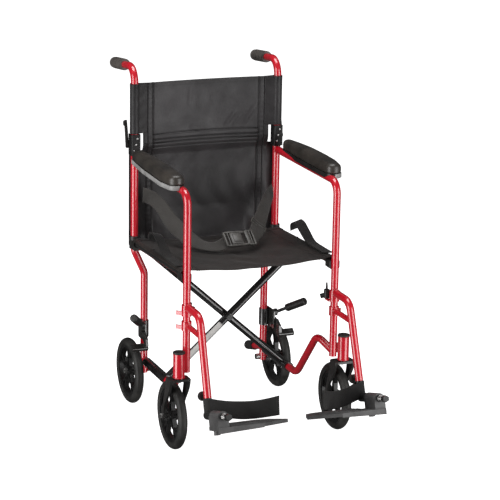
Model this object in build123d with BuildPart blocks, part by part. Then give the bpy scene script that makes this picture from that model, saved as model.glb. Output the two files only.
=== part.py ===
from build123d import *
import os
from math import atan2, cos, degrees, radians, sin

# A folding transport wheelchair.
# +Z is up, +Y is the rear, +X is the occupant's left, and the ground is z = 0.
# The origin is under the middle of the chair. All lengths are in millimetres.

os.makedirs("parts", exist_ok=True)

# ---- driving dimensions ----
TUBE_R = 11.1                # 7/8 inch frame tube
FRONT_R = 11.0               # front post and arm tube
RAIL_R = 10.9                # lower rail
WALL = 1.6
FIT = 0.05                   # radial clearance of a running fit
GAP = 0.4                    # air between parts that don't touch
SEAT_WIDTH = 454             # post centre to post centre
SEAT_DEPTH = 457
FRONT_Y = -143               # front posts
REAR_Y = FRONT_Y + SEAT_DEPTH
POST_X = SEAT_WIDTH / 2

ARM_Z = 757                  # arm tube axis
ARM_BEND = 38
FRONT_FOOT_Z = 238           # open lower end of a front post
REAR_TOP_Z = 778
JOG_TOP_Z = 477              # the rear leg steps inward below the seat
JOG_FOOT_Z = 406
LEG_X = POST_X - 32
LEG_FOOT_Z = 90

RAIL_Z = 130                 # lower rail axis, which is also the fold axis
RAIL_BEND_Y = 45
RISER_TOP = (LEG_X + 9, -80, 284)
RAIL_WELD_Z = 252
STUB_END = (LEG_X, 428, 102)

WHEEL_R = 100                # 8 inch wheels
WHEEL_W = 27
HUB_BORE_R = 11 + FIT        # 608 bearings, 22 mm outside
AXLE_R = 4
REAR_WHEEL_X = 239.3
REAR_AXLE = (REAR_Y + 1, WHEEL_R)
CASTER_X = 254
CASTER_Y = -157
CASTER_TRAIL = 52
FORK_GAP = 48
HOUSING_R = 16.5
HOUSING_FOOT_Z = 228
HOUSING_TOP_Z = 300

SEAT_FRONT_Z = 520           # seat rail axis at the front posts
SEAT_REAR_Z = 502
SEAT_END_GAP = 17            # from a post's centre to the end of the seat rail
CRADLE_R = TUBE_R + 1.2      # the rail also shifts a little sideways as it lifts out
BRACE_B_Y = 118              # the two crossing tubes
BRACE_A_Y = 143
SLEEVE_R = 14.5              # pivot sleeves round the lower rails
SLEEVE_Y = (104, 286)

HINGE_Z = 800                # back hinge pin
LATCH_PIVOT = (REAR_Y + 9, 798)   # (y, z) of the back latch's pin
BACK_BEND = (REAR_Y, 1033)   # (y, z) where the back tube turns into the push handle
BACK_BEND_R = 44
GRIP_START_Y = 401
GRIP_END_Y = 498
GRIP_END_Z = 1015

HANGER_TOP_Z = 431           # footrest hanger
HANGER_BEND_Y = -249
HANGER_END = (230, -325, 219)
HOOKS = ((404, 436, 412), (362, 388, 371))   # foot, top and tab height of each hook
LATCH_PIN = (POST_X - 15, FRONT_Y + 21)
PLATE_TILT = 16.5            # the footplate rises towards its toe
BOLT_END = (233, -497, 221)  # front end of the footplate's pivot bolt
EXTENSION_R = TUBE_R - WALL - 0.07

SIDES = {"right": -1, "left": 1}


# ---- helpers ----
def rod(points, bend, radius, mode=Mode.ADD):
    """A round rod along straight runs with rounded corners, joined to the open part."""
    with BuildLine() as path:
        if len(points) > 2:
            FilletPolyline(*points, radius=bend)
        else:
            Line(*points)
    start = Plane(origin=path.line @ 0, z_dir=path.line % 0)
    with BuildSketch(start) as section:
        Circle(radius)
    sweep(section.sketch, path=path.line, mode=mode)


def cylinder_between(start, end, radius, mode=Mode.ADD):
    """A plain round bar from one point to another, joined to the open part."""
    length = (Vector(*end) - Vector(*start)).length
    base = Plane(origin=start, z_dir=Vector(*end) - Vector(*start))
    with BuildSketch(base) as section:
        Circle(radius)
    extrude(section.sketch, amount=length, mode=mode)


def turned(point, angle, across, up):
    """A 2-D point turned about the origin and then moved."""
    u, v = point
    return across + u * cos(angle) - v * sin(angle), up + u * sin(angle) + v * cos(angle)


def block(centre, size, mode=Mode.ADD):
    """A plain box given by its centre and its three sizes."""
    with Locations(centre):
        Box(*size, mode=mode)


def save(builder, name):
    """Label a finished piece and write it as one STEP file."""
    builder.part.label = name
    export_step(builder.part, f"parts/{name}.step")


def seat_rail_z(y):
    """Height of the seat rail's axis, which falls gently to the rear."""
    return SEAT_FRONT_Z + (SEAT_REAR_Z - SEAT_FRONT_Z) * (y - FRONT_Y) / SEAT_DEPTH


# ---- side frame and what is fixed to it ----
def side_frame(s):
    """One welded side: posts, arm tube, lower rail, tipping stub, caster housing."""
    front = [
        (s * POST_X, FRONT_Y, FRONT_FOOT_Z),
        (s * POST_X, FRONT_Y, ARM_Z),
        (s * POST_X, REAR_Y, ARM_Z),
    ]
    rear = [
        (s * POST_X, REAR_Y, REAR_TOP_Z),
        (s * POST_X, REAR_Y, JOG_TOP_Z),
        (s * LEG_X, REAR_Y, JOG_FOOT_Z),
        (s * LEG_X, REAR_Y, LEG_FOOT_Z),
    ]
    rail = [
        (s * STUB_END[0], STUB_END[1], STUB_END[2]),
        (s * LEG_X, REAR_Y + 8, RAIL_Z),
        (s * LEG_X, RAIL_BEND_Y, RAIL_Z),
        (s * RISER_TOP[0], RISER_TOP[1], RISER_TOP[2]),
        (s * POST_X, FRONT_Y, RAIL_WELD_Z),
    ]
    axle_y, axle_z = REAR_AXLE
    web_mid = ((POST_X + CASTER_X) / 2 * s, (FRONT_Y + CASTER_Y) / 2, 264)
    web_turn = degrees(atan2(CASTER_Y - FRONT_Y, s * (CASTER_X - POST_X)))
    with BuildPart() as frame:
        rod(front, ARM_BEND, FRONT_R)
        rod(rear, [40, 40], TUBE_R)
        rod(rail, [60, 52, 30], RAIL_R)
        with Locations((s * CASTER_X, CASTER_Y, (HOUSING_FOOT_Z + HOUSING_TOP_Z) / 2)):
            Cylinder(HOUSING_R, HOUSING_TOP_Z - HOUSING_FOOT_Z)
        with Locations(Location(web_mid, (0, 0, web_turn))):
            Box(24, 9, 28)
        # lug along the rear of the housing
        with Locations((s * CASTER_X, CASTER_Y + 15, 260)):
            Cylinder(9, 52)
        rod(front, ARM_BEND, FRONT_R - WALL, mode=Mode.SUBTRACT)
        rod(rear, [40, 40], TUBE_R - WALL, mode=Mode.SUBTRACT)
        rod(rail, [60, 52, 30], RAIL_R - WALL, mode=Mode.SUBTRACT)
        # axle bolt hole through the rear leg
        with Locations(Location((s * LEG_X, axle_y, axle_z), (0, 90, 0))):
            Cylinder(AXLE_R + FIT, 40, mode=Mode.SUBTRACT)
        # caster stem bore with a bearing seat at each end
        with Locations((s * CASTER_X, CASTER_Y, (HOUSING_FOOT_Z + HOUSING_TOP_Z) / 2)):
            Cylinder(9, HOUSING_TOP_Z - HOUSING_FOOT_Z, mode=Mode.SUBTRACT)
        with Locations((s * CASTER_X, CASTER_Y, HOUSING_FOOT_Z + 4)):
            Cylinder(HUB_BORE_R, 8, mode=Mode.SUBTRACT)
        with Locations((s * CASTER_X, CASTER_Y, HOUSING_TOP_Z - 7)):
            Cylinder(HUB_BORE_R, 14, mode=Mode.SUBTRACT)
    return frame


def rail_saddles(s):
    """Two moulded cradles for the seat rail's ends. Only the rear one goes round its post."""
    tilt = -degrees(atan2(SEAT_FRONT_Z - SEAT_REAR_Z, SEAT_DEPTH))
    with BuildPart() as saddles:
        for post_y, reach in ((FRONT_Y, 1), (REAR_Y, -1)):
            end_y = post_y + reach * 30
            z = seat_rail_z(end_y)
            with BuildSketch(Plane.XZ.offset(-post_y - reach * 3)) as profile:
                with Locations((s * POST_X, z - 6)):
                    RectangleRounded(31, 26, 5)
            extrude(profile.sketch, amount=-reach * 33)
            # the cradle is open at the top, so the rail can lift out when the chair folds
            mouth = Location((s * POST_X, end_y, z), (tilt, 0, 0))
            with Locations(mouth):
                Cylinder(CRADLE_R, 70, rotation=(90, 0, 0), mode=Mode.SUBTRACT)
                Box(2 * CRADLE_R, 70, 44,
                    align=(Align.CENTER, Align.CENTER, Align.MIN), mode=Mode.SUBTRACT)
            with Locations((s * POST_X, post_y, z)):
                if post_y == REAR_Y:
                    Cylinder(TUBE_R + 4, 38)
                Cylinder(TUBE_R + FIT, 60, mode=Mode.SUBTRACT)
            # leave room at the end of the seat rail
            block((s * POST_X, post_y + reach * (SEAT_END_GAP - 0.1 + 10), z + 12),
                  (2 * CRADLE_R, 20, 24), mode=Mode.SUBTRACT)
    return saddles


PAD_OUTLINE = (              # the armrest from above: (distance outboard of the post, y, radius)
    (12, 246, 18),
    (14, 130, 26),
    (15, -36, 29),
    (13, -80, 24),
)


def arm_shape(s, lift, grow):
    """The armrest's outline at one height, as a sketch wrapped round four circles."""
    with BuildSketch(Plane.XY.offset(lift)) as outline:
        for out, y, radius in PAD_OUTLINE:
            with Locations((s * (POST_X + out), y)):
                Circle(radius + grow)
        make_hull()
    return outline.sketch


def arm_pad_base(s):
    """Moulded tray under the armrest pad, seated over the arm tube."""
    with BuildPart() as base:
        extrude(arm_shape(s, ARM_Z, 0), amount=14)
        rod([(s * POST_X, -200, ARM_Z), (s * POST_X, 330, ARM_Z)], 0,
            FRONT_R + FIT, mode=Mode.SUBTRACT)
    return base


def arm_pad(s):
    """Armrest pad: a closed cushion with a rounded upper edge."""
    with BuildPart() as pad:
        extrude(arm_shape(s, ARM_Z + 14.3, -0.5), amount=28)
        fillet(pad.edges().group_by(Axis.Z)[-1], radius=12)
    return pad


def frame_caps(s):
    """Press-in cap of the caster housing and the rubber boot on the tipping stub."""
    stub = Vector(s * STUB_END[0], STUB_END[1], STUB_END[2])
    bend = Vector(s * LEG_X, REAR_Y + 8, RAIL_Z)
    out = (stub - bend).normalized()
    heel = stub - out * 52
    toe = stub + out * 6
    with BuildPart() as caps:
        with Locations((s * CASTER_X, CASTER_Y, HOUSING_TOP_Z + 2.5)):
            Cylinder(HOUSING_R + 1, 5)
        fillet(caps.edges().group_by(Axis.Z)[-1], radius=2)
        cylinder_between(tuple(heel), tuple(toe), TUBE_R + 3.5)
        cylinder_between(tuple(heel), tuple(stub), RAIL_R + FIT, mode=Mode.SUBTRACT)
    return caps


def bearing(centre, axis, bore=AXLE_R):
    """A 22 x 7 mm ball bearing as one ring."""
    c = Vector(*centre)
    a = Vector(*axis)
    with BuildPart() as ring:
        cylinder_between(tuple(c - a * 3.5), tuple(c + a * 3.5), HUB_BORE_R - FIT)
        cylinder_between(tuple(c - a * 3.5), tuple(c + a * 3.5), bore + 0.02,
                         mode=Mode.SUBTRACT)
    return ring.part


def hex_head(centre, axis, across, height):
    """A hexagonal bolt head or nut that stands on a point."""
    with BuildPart() as head:
        with BuildSketch(Plane(origin=centre, z_dir=axis)) as hexagon:
            RegularPolygon(across / 2, 6, major_radius=False)
        extrude(hexagon.sketch, amount=height)
    return head.part


def rear_axle_set(s):
    """Rear axle bolt with its capped nut, the spacer and the two hub bearings."""
    y, z = REAR_AXLE
    inner = s * (LEG_X - TUBE_R - 0.1)
    outer = s * (REAR_WHEEL_X + 15)
    with BuildPart() as axle:
        cylinder_between((inner, y, z), (outer, y, z), AXLE_R)
        cylinder_between((inner, y, z), (inner - s * 12, y, z), 9)
        add(hex_head((outer, y, z), (s, 0, 0), 13, 5))
    with BuildPart() as spacer:
        cylinder_between((s * (LEG_X + TUBE_R + 0.1), y, z),
                         (s * (REAR_WHEEL_X - 13.1), y, z), 8)
        cylinder_between((s * (LEG_X + TUBE_R + 0.1), y, z),
                         (s * (REAR_WHEEL_X - 13.1), y, z), AXLE_R + 0.02,
                         mode=Mode.SUBTRACT)
    with BuildPart() as hardware:
        add(axle.part)
        add(spacer.part)
        for offset in (-9.5, 9.5):
            add(bearing((s * REAR_WHEEL_X + offset, y, z), (1, 0, 0)))
    return hardware


# ---- wheels and casters ----
def tyre(x, y):
    """Solid tyre with rounded shoulders."""
    half = WHEEL_W / 2
    with BuildPart() as ring:
        with BuildSketch(Plane.XZ.offset(-y)) as section:
            with BuildLine():
                Polyline((x - half + 3, WHEEL_R + 79), (x - half, WHEEL_R + 84),
                         (x - half, WHEEL_R + 91))
                ThreePointArc((x - half, WHEEL_R + 91), (x, WHEEL_R + 100),
                              (x + half, WHEEL_R + 91))
                Polyline((x + half, WHEEL_R + 91), (x + half, WHEEL_R + 84),
                         (x + half - 3, WHEEL_R + 79), (x - half + 3, WHEEL_R + 79))
            make_face()
        revolve(section.sketch, axis=Axis((x, y, WHEEL_R), (1, 0, 0)), revolution_arc=360)
    return ring


def rim(x, y):
    """Moulded wheel centre: hub, five forked spokes and the rim band."""
    with BuildPart() as wheel:
        with BuildSketch(Plane.YZ.offset(x - 9)) as band:
            with Locations((y, WHEEL_R)):
                Circle(79 - 0.05)
                Circle(71, mode=Mode.SUBTRACT)
        extrude(band.sketch, amount=18)
        with BuildSketch(Plane.YZ.offset(x - 13)) as hub:
            with Locations((y, WHEEL_R)):
                Circle(17)
        extrude(hub.sketch, amount=26)
        spoke = ((12, 9), (40, 5), (74, 17), (74, 8), (46, 0),
                 (74, -8), (74, -17), (40, -5), (12, -9), (12, 9))
        rib = ((12, 2), (42, 2), (42, -2), (12, -2), (12, 2))
        for k in range(5):
            turn = radians(90 + 72 * k)
            for shape, half in ((spoke, 6), (rib, 9)):
                with BuildSketch(Plane.YZ.offset(x - half)) as section:
                    with BuildLine():
                        Polyline(*(turned(point, turn, y, WHEEL_R) for point in shape))
                    make_face()
                extrude(section.sketch, amount=2 * half)
        cylinder_between((x - 14, y, WHEEL_R), (x + 14, y, WHEEL_R), HUB_BORE_R,
                         mode=Mode.SUBTRACT)
    return wheel


def fork(s):
    """Caster fork: a crown plate and two swept legs."""
    axle_y = CASTER_Y + CASTER_TRAIL
    crown_top = HOUSING_FOOT_Z - 2.4
    inner = FORK_GAP / 2
    thick = 7
    with BuildPart() as part:
        with BuildSketch(Plane.XY.offset(crown_top - 7)) as crown:
            with Locations((s * CASTER_X, CASTER_Y + 4)):
                RectangleRounded(2 * (inner + thick), 40, 9)
        extrude(crown.sketch, amount=7)
        for side in (-1, 1):
            start = s * CASTER_X + side * (inner + thick / 2) - thick / 2
            with BuildSketch(Plane.YZ.offset(start)) as leg:
                with BuildLine():
                    a = Line((CASTER_Y - 15, crown_top - 1), (CASTER_Y + 23, crown_top - 1))
                    b = Spline((CASTER_Y + 23, crown_top - 1), (CASTER_Y + 39, 160),
                               (axle_y + 10, WHEEL_R + 4))
                    c = ThreePointArc(b @ 1, (axle_y + 2, WHEEL_R - 11),
                                      (axle_y - 10, WHEEL_R - 4))
                    d = Spline(c @ 1, (CASTER_Y + 19, 160), (CASTER_Y - 6, 196),
                               a @ 0)
                make_face()
            extrude(leg.sketch, amount=thick)
            boss = s * CASTER_X + side * (inner + 0.5)
            cylinder_between((boss, axle_y, WHEEL_R), (boss - side * 9.6, axle_y, WHEEL_R), 8)
        cylinder_between((s * CASTER_X, CASTER_Y, crown_top - 20),
                         (s * CASTER_X, CASTER_Y, crown_top + 2), AXLE_R + 0.02,
                         mode=Mode.SUBTRACT)
        cylinder_between((s * CASTER_X - 40, axle_y, WHEEL_R),
                         (s * CASTER_X + 40, axle_y, WHEEL_R), AXLE_R + 0.02,
                         mode=Mode.SUBTRACT)
    return part


def caster_hardware(s):
    """Stem bolt and nut, two stem bearings, axle bolt and nut, two wheel bearings."""
    axle_y = CASTER_Y + CASTER_TRAIL
    crown_top = HOUSING_FOOT_Z - 2.4
    x = s * CASTER_X
    with BuildPart() as stem:
        cylinder_between((x, CASTER_Y, crown_top - 7.1), (x, CASTER_Y, HOUSING_TOP_Z - 1),
                         AXLE_R)
        add(hex_head((x, CASTER_Y, crown_top - 7.1), (0, 0, -1), 13, 5))
        add(hex_head((x, CASTER_Y, HOUSING_TOP_Z - 7), (0, 0, 1), 13, 5))
    with BuildPart() as washer:
        cylinder_between((x, CASTER_Y, crown_top + 0.1), (x, CASTER_Y, HOUSING_FOOT_Z - 0.1),
                         7)
        cylinder_between((x, CASTER_Y, crown_top + 0.1), (x, CASTER_Y, HOUSING_FOOT_Z - 0.1),
                         AXLE_R + 0.02, mode=Mode.SUBTRACT)
    with BuildPart() as axle:
        reach = FORK_GAP / 2 + 7.1
        cylinder_between((x - reach, axle_y, WHEEL_R), (x + reach, axle_y, WHEEL_R), AXLE_R)
        add(hex_head((x - reach, axle_y, WHEEL_R), (-1, 0, 0), 13, 5))
        add(hex_head((x + reach, axle_y, WHEEL_R), (1, 0, 0), 13, 5))
    with BuildPart() as hardware:
        add(stem.part)
        add(washer.part)
        add(axle.part)
        add(bearing((x, CASTER_Y, HOUSING_FOOT_Z + 4.2), (0, 0, 1)))
        add(bearing((x, CASTER_Y, HOUSING_TOP_Z - 10.3), (0, 0, 1)))
        for offset in (-9.5, 9.5):
            add(bearing((x + offset, axle_y, WHEEL_R), (1, 0, 0)))
    return hardware


# ---- brakes ----
BRAKE_PIVOT = (268, 254)     # (y, z) of the lever's pivot
SHOE_PIVOT = (272, 227)
SHOE = (235, 196)            # middle of the bar that presses on the tyre
LEVER_END = (272, 182, 306)


def brake_bracket(s):
    """Plate clamped to the rear leg, with the pins of the lever and the shoe arm."""
    x = s * (LEG_X + TUBE_R + 1)
    with BuildPart() as bracket:
        with BuildSketch(Plane.YZ.offset(min(x, x + s * 4))) as plate:
            with Locations((REAR_Y - 24, 232)):
                RectangleRounded(64, 58, 6)
        extrude(plate.sketch, amount=4)
        with Locations((s * LEG_X, REAR_Y, 230)):
            Cylinder(TUBE_R + 3, 52)
        block((s * (LEG_X + 8), REAR_Y, 230), (12, 12, 52))
        with Locations((s * LEG_X, REAR_Y, 230)):
            Cylinder(TUBE_R + FIT, 70, mode=Mode.SUBTRACT)
        for y, z in (BRAKE_PIVOT, SHOE_PIVOT):
            cylinder_between((x, y, z), (x + s * 15, y, z), 4)
    return bracket


def brake_lever(s):
    """Steel lever: a boss on its pin and an arm that runs forward and outward."""
    y, z = BRAKE_PIVOT
    x = s * (LEG_X + TUBE_R + 5.4)
    with BuildPart() as lever:
        cylinder_between((x, y, z), (x + s * 8, y, z), 11)
        cylinder_between((x + s * 5.2, y, z), (s * LEVER_END[0], LEVER_END[1], LEVER_END[2]), 5)
        cylinder_between((x - s, y, z), (x + s * 12, y, z), 4 + FIT, mode=Mode.SUBTRACT)
    return lever


def brake_grip(s):
    """Moulded grip on the end of the brake lever."""
    end = Vector(s * LEVER_END[0], LEVER_END[1], LEVER_END[2])
    boss = Vector(s * (LEG_X + TUBE_R + 10.6), BRAKE_PIVOT[0], BRAKE_PIVOT[1])
    out = (end - boss).normalized()
    start = end - out * 70
    with BuildPart() as grip:
        cylinder_between(tuple(start), tuple(end + out * 7), 12)
        fillet(grip.edges(), radius=5)
        cylinder_between(tuple(start - out * 3), tuple(end), 5 + 0.07, mode=Mode.SUBTRACT)
    return grip


def brake_shoe(s):
    """Arm on the lower pin that carries the bar pressed across the tyre."""
    y, z = SHOE_PIVOT
    x = s * (LEG_X + TUBE_R + 5.4)
    with BuildPart() as shoe:
        cylinder_between((x, y, z), (x + s * 8, y, z), 9)
        with BuildSketch(Plane.YZ.offset(min(x, x + s * 8))) as arm:
            with BuildLine():
                Polyline((y + 6, z + 6), (y - 20, z + 8), (y - 45, z - 6), (y - 48, z - 26),
                         (y - 38, z - 36), (y - 28, z - 24), (y - 12, z - 9), (y + 3, z - 8),
                         (y + 6, z + 6))
            make_face()
        extrude(arm.sketch, amount=8)
        with BuildSketch(Plane.YZ.offset(min(x, s * 262))) as bar:
            with Locations(Location((SHOE[0], SHOE[1], 0), (0, 0, -50))):
                RectangleRounded(13, 22, 3)
        extrude(bar.sketch, amount=abs(s * 262 - x))
        cylinder_between((x - s, y, z), (x + s * 12, y, z), 4 + FIT, mode=Mode.SUBTRACT)
    return shoe


# ---- folding back ----
def back_hinge(s):
    """Channel fixed on the rear post. The back tube turns on its cross pin."""
    x = s * POST_X
    front = REAR_Y - TUBE_R - 3.4
    with BuildPart() as hinge:
        block((x, (front + REAR_Y + 14) / 2, 801), (29.4, REAR_Y + 14 - front, 62))
        fillet(hinge.edges().filter_by(Axis.Z), radius=2.5)
        block((x, REAR_Y + 40, 801), (2 * (TUBE_R + GAP), 80 + 2 * (TUBE_R + GAP), 80),
              mode=Mode.SUBTRACT)
        cylinder_between((x - 15.6, REAR_Y, HINGE_Z), (x + 15.6, REAR_Y, HINGE_Z), 3.5)
        for z in (782, 818):
            for side in (-1, 1):
                cylinder_between((x + side * 14.6, REAR_Y + 6, z),
                                 (x + side * 15.7, REAR_Y + 6, z), 3.6)
        latch_y, latch_z = LATCH_PIVOT
        cylinder_between((x + s * 14, latch_y, latch_z), (x + s * 22, latch_y, latch_z), 2.5)
        with Locations((x, REAR_Y, 772)):
            Cylinder(TUBE_R + 3.2, 8)
            Cylinder(TUBE_R + FIT, 10, mode=Mode.SUBTRACT)
    return hinge


def handle_tube(s):
    """Upper back tube: up from the hinge and bent back into the push handle."""
    x = s * POST_X
    points = [
        (x, REAR_Y, HINGE_Z),
        (x, BACK_BEND[0], BACK_BEND[1]),
        (x, GRIP_END_Y - 8, GRIP_END_Z),
    ]
    with BuildPart() as tube:
        rod(points, BACK_BEND_R, TUBE_R)
        with Locations((x, REAR_Y, HINGE_Z)):
            Sphere(TUBE_R - 0.05)
        rod([(x, REAR_Y, HINGE_Z + 14), points[1], points[2]], BACK_BEND_R,
            TUBE_R - WALL, mode=Mode.SUBTRACT)
        cylinder_between((x - 20, REAR_Y, HINGE_Z), (x + 20, REAR_Y, HINGE_Z), 3.5 + FIT,
                         mode=Mode.SUBTRACT)
    return tube


def push_grip(s):
    """Rubber push grip with ring ribs, closed at its end."""
    x = s * POST_X
    drop = (GRIP_END_Z - BACK_BEND[1]) / (GRIP_END_Y - 8 - BACK_BEND[0])
    lean = Vector(0, 1, drop).normalized()
    start = Vector(x, GRIP_START_Y, BACK_BEND[1] + drop * (GRIP_START_Y - BACK_BEND[0]))
    length = (GRIP_END_Y - GRIP_START_Y) / lean.Y
    with BuildPart() as grip:
        cylinder_between(tuple(start), tuple(start + lean * length), 16.5)
        for k in range(7):
            ring = start + lean * (6 + 12 * k)
            cylinder_between(tuple(ring), tuple(ring + lean * 7), 17.6)
        cylinder_between(tuple(start - lean * 4), tuple(start + lean * (length - 8)),
                         TUBE_R + FIT, mode=Mode.SUBTRACT)
    return grip


def back_latch(s):
    """Release lever on the outer face of the hinge channel."""
    x = s * (POST_X + 16.2)
    with BuildPart() as latch:
        with BuildSketch(Plane.YZ.offset(min(x, x + s * 5))) as plate:
            with BuildLine():
                Polyline((REAR_Y + 4, 790), (REAR_Y + 20, 788), (REAR_Y + 27, 830),
                         (REAR_Y + 35, 868), (REAR_Y + 22, 872), (REAR_Y + 11, 834),
                         (REAR_Y + 4, 790))
            make_face()
        extrude(plate.sketch, amount=5)
        fillet(latch.edges().filter_by(Axis.X), radius=3)
        cylinder_between((x, REAR_Y + 30, 860), (x + s * 7, REAR_Y + 30, 860), 8)
        y, z = LATCH_PIVOT
        cylinder_between((x, y, z), (x + s * 7, y, z), 6)
        cylinder_between((x - s, y, z), (x + s * 8, y, z), 2.5 + FIT, mode=Mode.SUBTRACT)
    return latch


# ---- cross braces ----
def brace_line(s):
    """Foot and top of a brace whose foot is on side s, as (x, z) pairs."""
    return (s * LEG_X, RAIL_Z), (-s * POST_X, (SEAT_FRONT_Z + SEAT_REAR_Z) / 2)


def brace_cross_z():
    """Height at which the two braces cross on the centre line."""
    (x0, z0), (x1, z1) = brace_line(-1)
    return z0 + (z1 - z0) * (0 - x0) / (x1 - x0)


def cross_brace(s, y):
    """A brace tube with its pivot sleeve at the foot and the seat rail on its top."""
    (x0, z0), (x1, z1) = brace_line(s)
    rail_y = (FRONT_Y + SEAT_END_GAP, REAR_Y - SEAT_END_GAP)
    rail = [(x1, rail_y[0], seat_rail_z(rail_y[0])), (x1, rail_y[1], seat_rail_z(rail_y[1]))]
    top_z = seat_rail_z(y)
    with BuildPart() as brace:
        rod([(x0, y, z0), (x1, y, top_z)], 0, TUBE_R)
        rod(rail, 0, TUBE_R)
        rod([(x0, y, z0), (x1, y, top_z)], 0, TUBE_R - WALL, mode=Mode.SUBTRACT)
        rod(rail, 0, TUBE_R - WALL, mode=Mode.SUBTRACT)
        cylinder_between((x0, SLEEVE_Y[0], z0), (x0, SLEEVE_Y[1], z0), SLEEVE_R)
        cylinder_between((x0, SLEEVE_Y[0] - 30, z0), (x0, SLEEVE_Y[1] + 5, z0), RAIL_R + FIT,
                         mode=Mode.SUBTRACT)
        cylinder_between((0, y - 30, brace_cross_z()), (0, y + 30, brace_cross_z()),
                         5 + FIT, mode=Mode.SUBTRACT)
    return brace


def brace_pivot():
    """Centre pivot bolt with its washers and nut."""
    z = brace_cross_z()
    front = BRACE_B_Y - TUBE_R - 2.1
    rear = BRACE_A_Y + TUBE_R + 2.1
    with BuildPart() as bolt:
        cylinder_between((0, front, z), (0, rear, z), 5)
        cylinder_between((0, front, z), (0, BRACE_B_Y - TUBE_R - 0.1, z), 10)
        cylinder_between((0, BRACE_B_Y + TUBE_R + 0.1, z), (0, BRACE_A_Y - TUBE_R - 0.4, z), 9)
        cylinder_between((0, BRACE_A_Y + TUBE_R + 0.4, z), (0, rear, z), 10)
        add(hex_head((0, front, z), (0, -1, 0), 17, 6))
        add(hex_head((0, rear, z), (0, 1, 0), 17, 8))
    return bolt


# ---- swing-away footrests ----
def footrest_hanger(s):
    """Bent tube with a lower strut, hung on the front post by two open hooks."""
    x = s * POST_X
    collar = FRONT_R + 0.15
    reach = FRONT_Y - TUBE_R - 3
    end = (s * HANGER_END[0], HANGER_END[1], HANGER_END[2])
    strut_z = 377
    share = (HANGER_TOP_Z - strut_z) / (HANGER_TOP_Z - HANGER_END[2])
    strut_y = HANGER_BEND_Y + (HANGER_END[1] - HANGER_BEND_Y) * share
    main = [(x, reach, HANGER_TOP_Z), (x, HANGER_BEND_Y, HANGER_TOP_Z), end]
    strut = [(x, reach, strut_z), (x + s, strut_y, strut_z)]
    with BuildPart() as hanger:
        rod(main, 40, TUBE_R)
        rod(strut, 0, 8)
        rod(main, 40, TUBE_R - WALL, mode=Mode.SUBTRACT)
        for foot, top, tab_z in HOOKS:
            with Locations((x, FRONT_Y, (foot + top) / 2)):
                Cylinder(FRONT_R + 3.6, top - foot)
        for foot, top, tab_z in HOOKS:
            # each hook is open towards the rear
            with Locations(Location((x, FRONT_Y, (foot + top) / 2), (0, 0, 90))):
                Cylinder(collar, top - foot + 8, mode=Mode.SUBTRACT)
                Box(40, 2 * collar - 7, top - foot + 8,
                    align=(Align.MIN, Align.CENTER, Align.CENTER), mode=Mode.SUBTRACT)
        for foot, top, tab_z in HOOKS:
            # the outer end of the hook is turned out into a tab
            with BuildSketch(Plane.XY.offset(tab_z - 6)) as tab:
                with BuildLine():
                    Polyline(*((x + s * u, FRONT_Y + v) for u, v in
                               ((11.6, -1), (14, -1), (28, 13), (26, 16), (11.6, 4), (11.6, -1))))
                make_face()
            extrude(tab.sketch, amount=12)
        # lug and upright pin of the release lever
        lug = Vector(s * LATCH_PIN[0], LATCH_PIN[1], HOOKS[0][0])
        with BuildSketch(Plane.XY.offset(HOOKS[0][0])) as arm:
            with BuildLine():
                Polyline(*((x + s * u, FRONT_Y + v) for u, v in
                           ((-12.5, -3), (-12, 6), (-10, 25), (-19, 25), (-18, -3), (-12.5, -3))))
            make_face()
        extrude(arm.sketch, amount=5)
        cylinder_between(tuple(lug), tuple(lug + Vector(0, 0, 28)), 2.5)
        # height-adjustment holes down the rear of the tube
        run = Vector(*end) - Vector(x, HANGER_BEND_Y, HANGER_TOP_Z)
        down = run.normalized()
        back = Vector(0, -down.Z, down.Y).normalized()
        for k in range(4):
            hole = Vector(*end) - down * (34 + 24 * k)
            cylinder_between(tuple(hole), tuple(hole + back * 16), 3, mode=Mode.SUBTRACT)
    return hanger


def hanger_axis(s):
    """Lower end of the hanger, the direction down its tube, and the way to its rear."""
    end = Vector(s * HANGER_END[0], HANGER_END[1], HANGER_END[2])
    top = Vector(s * POST_X, HANGER_BEND_Y, HANGER_TOP_Z)
    down = (end - top).normalized()
    back = Vector(0, -down.Z, down.Y).normalized()
    return end, down, back


def footrest_latch(s):
    """Sprung release lever of the swing-away hanger: a moulded body and a steel blade."""
    x = s * LATCH_PIN[0]
    y = LATCH_PIN[1]
    foot = HOOKS[0][0] + 5.4
    with BuildPart() as latch:
        cylinder_between((x, y, foot), (x, y, foot + 25), 8.5)
        cylinder_between((x, y, foot + 10), (x - s * 16, y + 8, foot + 4), 7)
        with BuildSketch(Plane.YZ.offset(x - 1.5)) as blade:
            with BuildLine():
                Polyline((y - 6, foot + 24), (y + 6, foot + 24), (y + 3, foot + 45),
                         (y - 1, foot + 47), (y - 6, foot + 24))
            make_face()
        extrude(blade.sketch, amount=3)
        cylinder_between((x, y, foot - 2), (x, y, foot + 23.2), 2.5 + FIT, mode=Mode.SUBTRACT)
    return latch


def footrest_knob(s):
    """Screw knob behind the hanger that sets the footrest's height."""
    end, down, back = hanger_axis(s)
    seat = end - down * 7
    with BuildPart() as knob:
        cylinder_between(tuple(seat + back * (TUBE_R + 0.1)), tuple(seat + back * 26), 4)
        cylinder_between(tuple(seat + back * 24), tuple(seat + back * 47), 13.5)
        fillet(knob.edges().group_by(Axis.Y)[-1], radius=3)
    return knob


def pivot_line(s):
    """Rear and front end of the footplate's pivot axis, and its direction forward."""
    front = Vector(s * BOLT_END[0], BOLT_END[1], BOLT_END[2])
    ahead = Vector(0, -cos(radians(PLATE_TILT)), sin(radians(PLATE_TILT)))
    return front - ahead * 170, front, ahead


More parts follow.
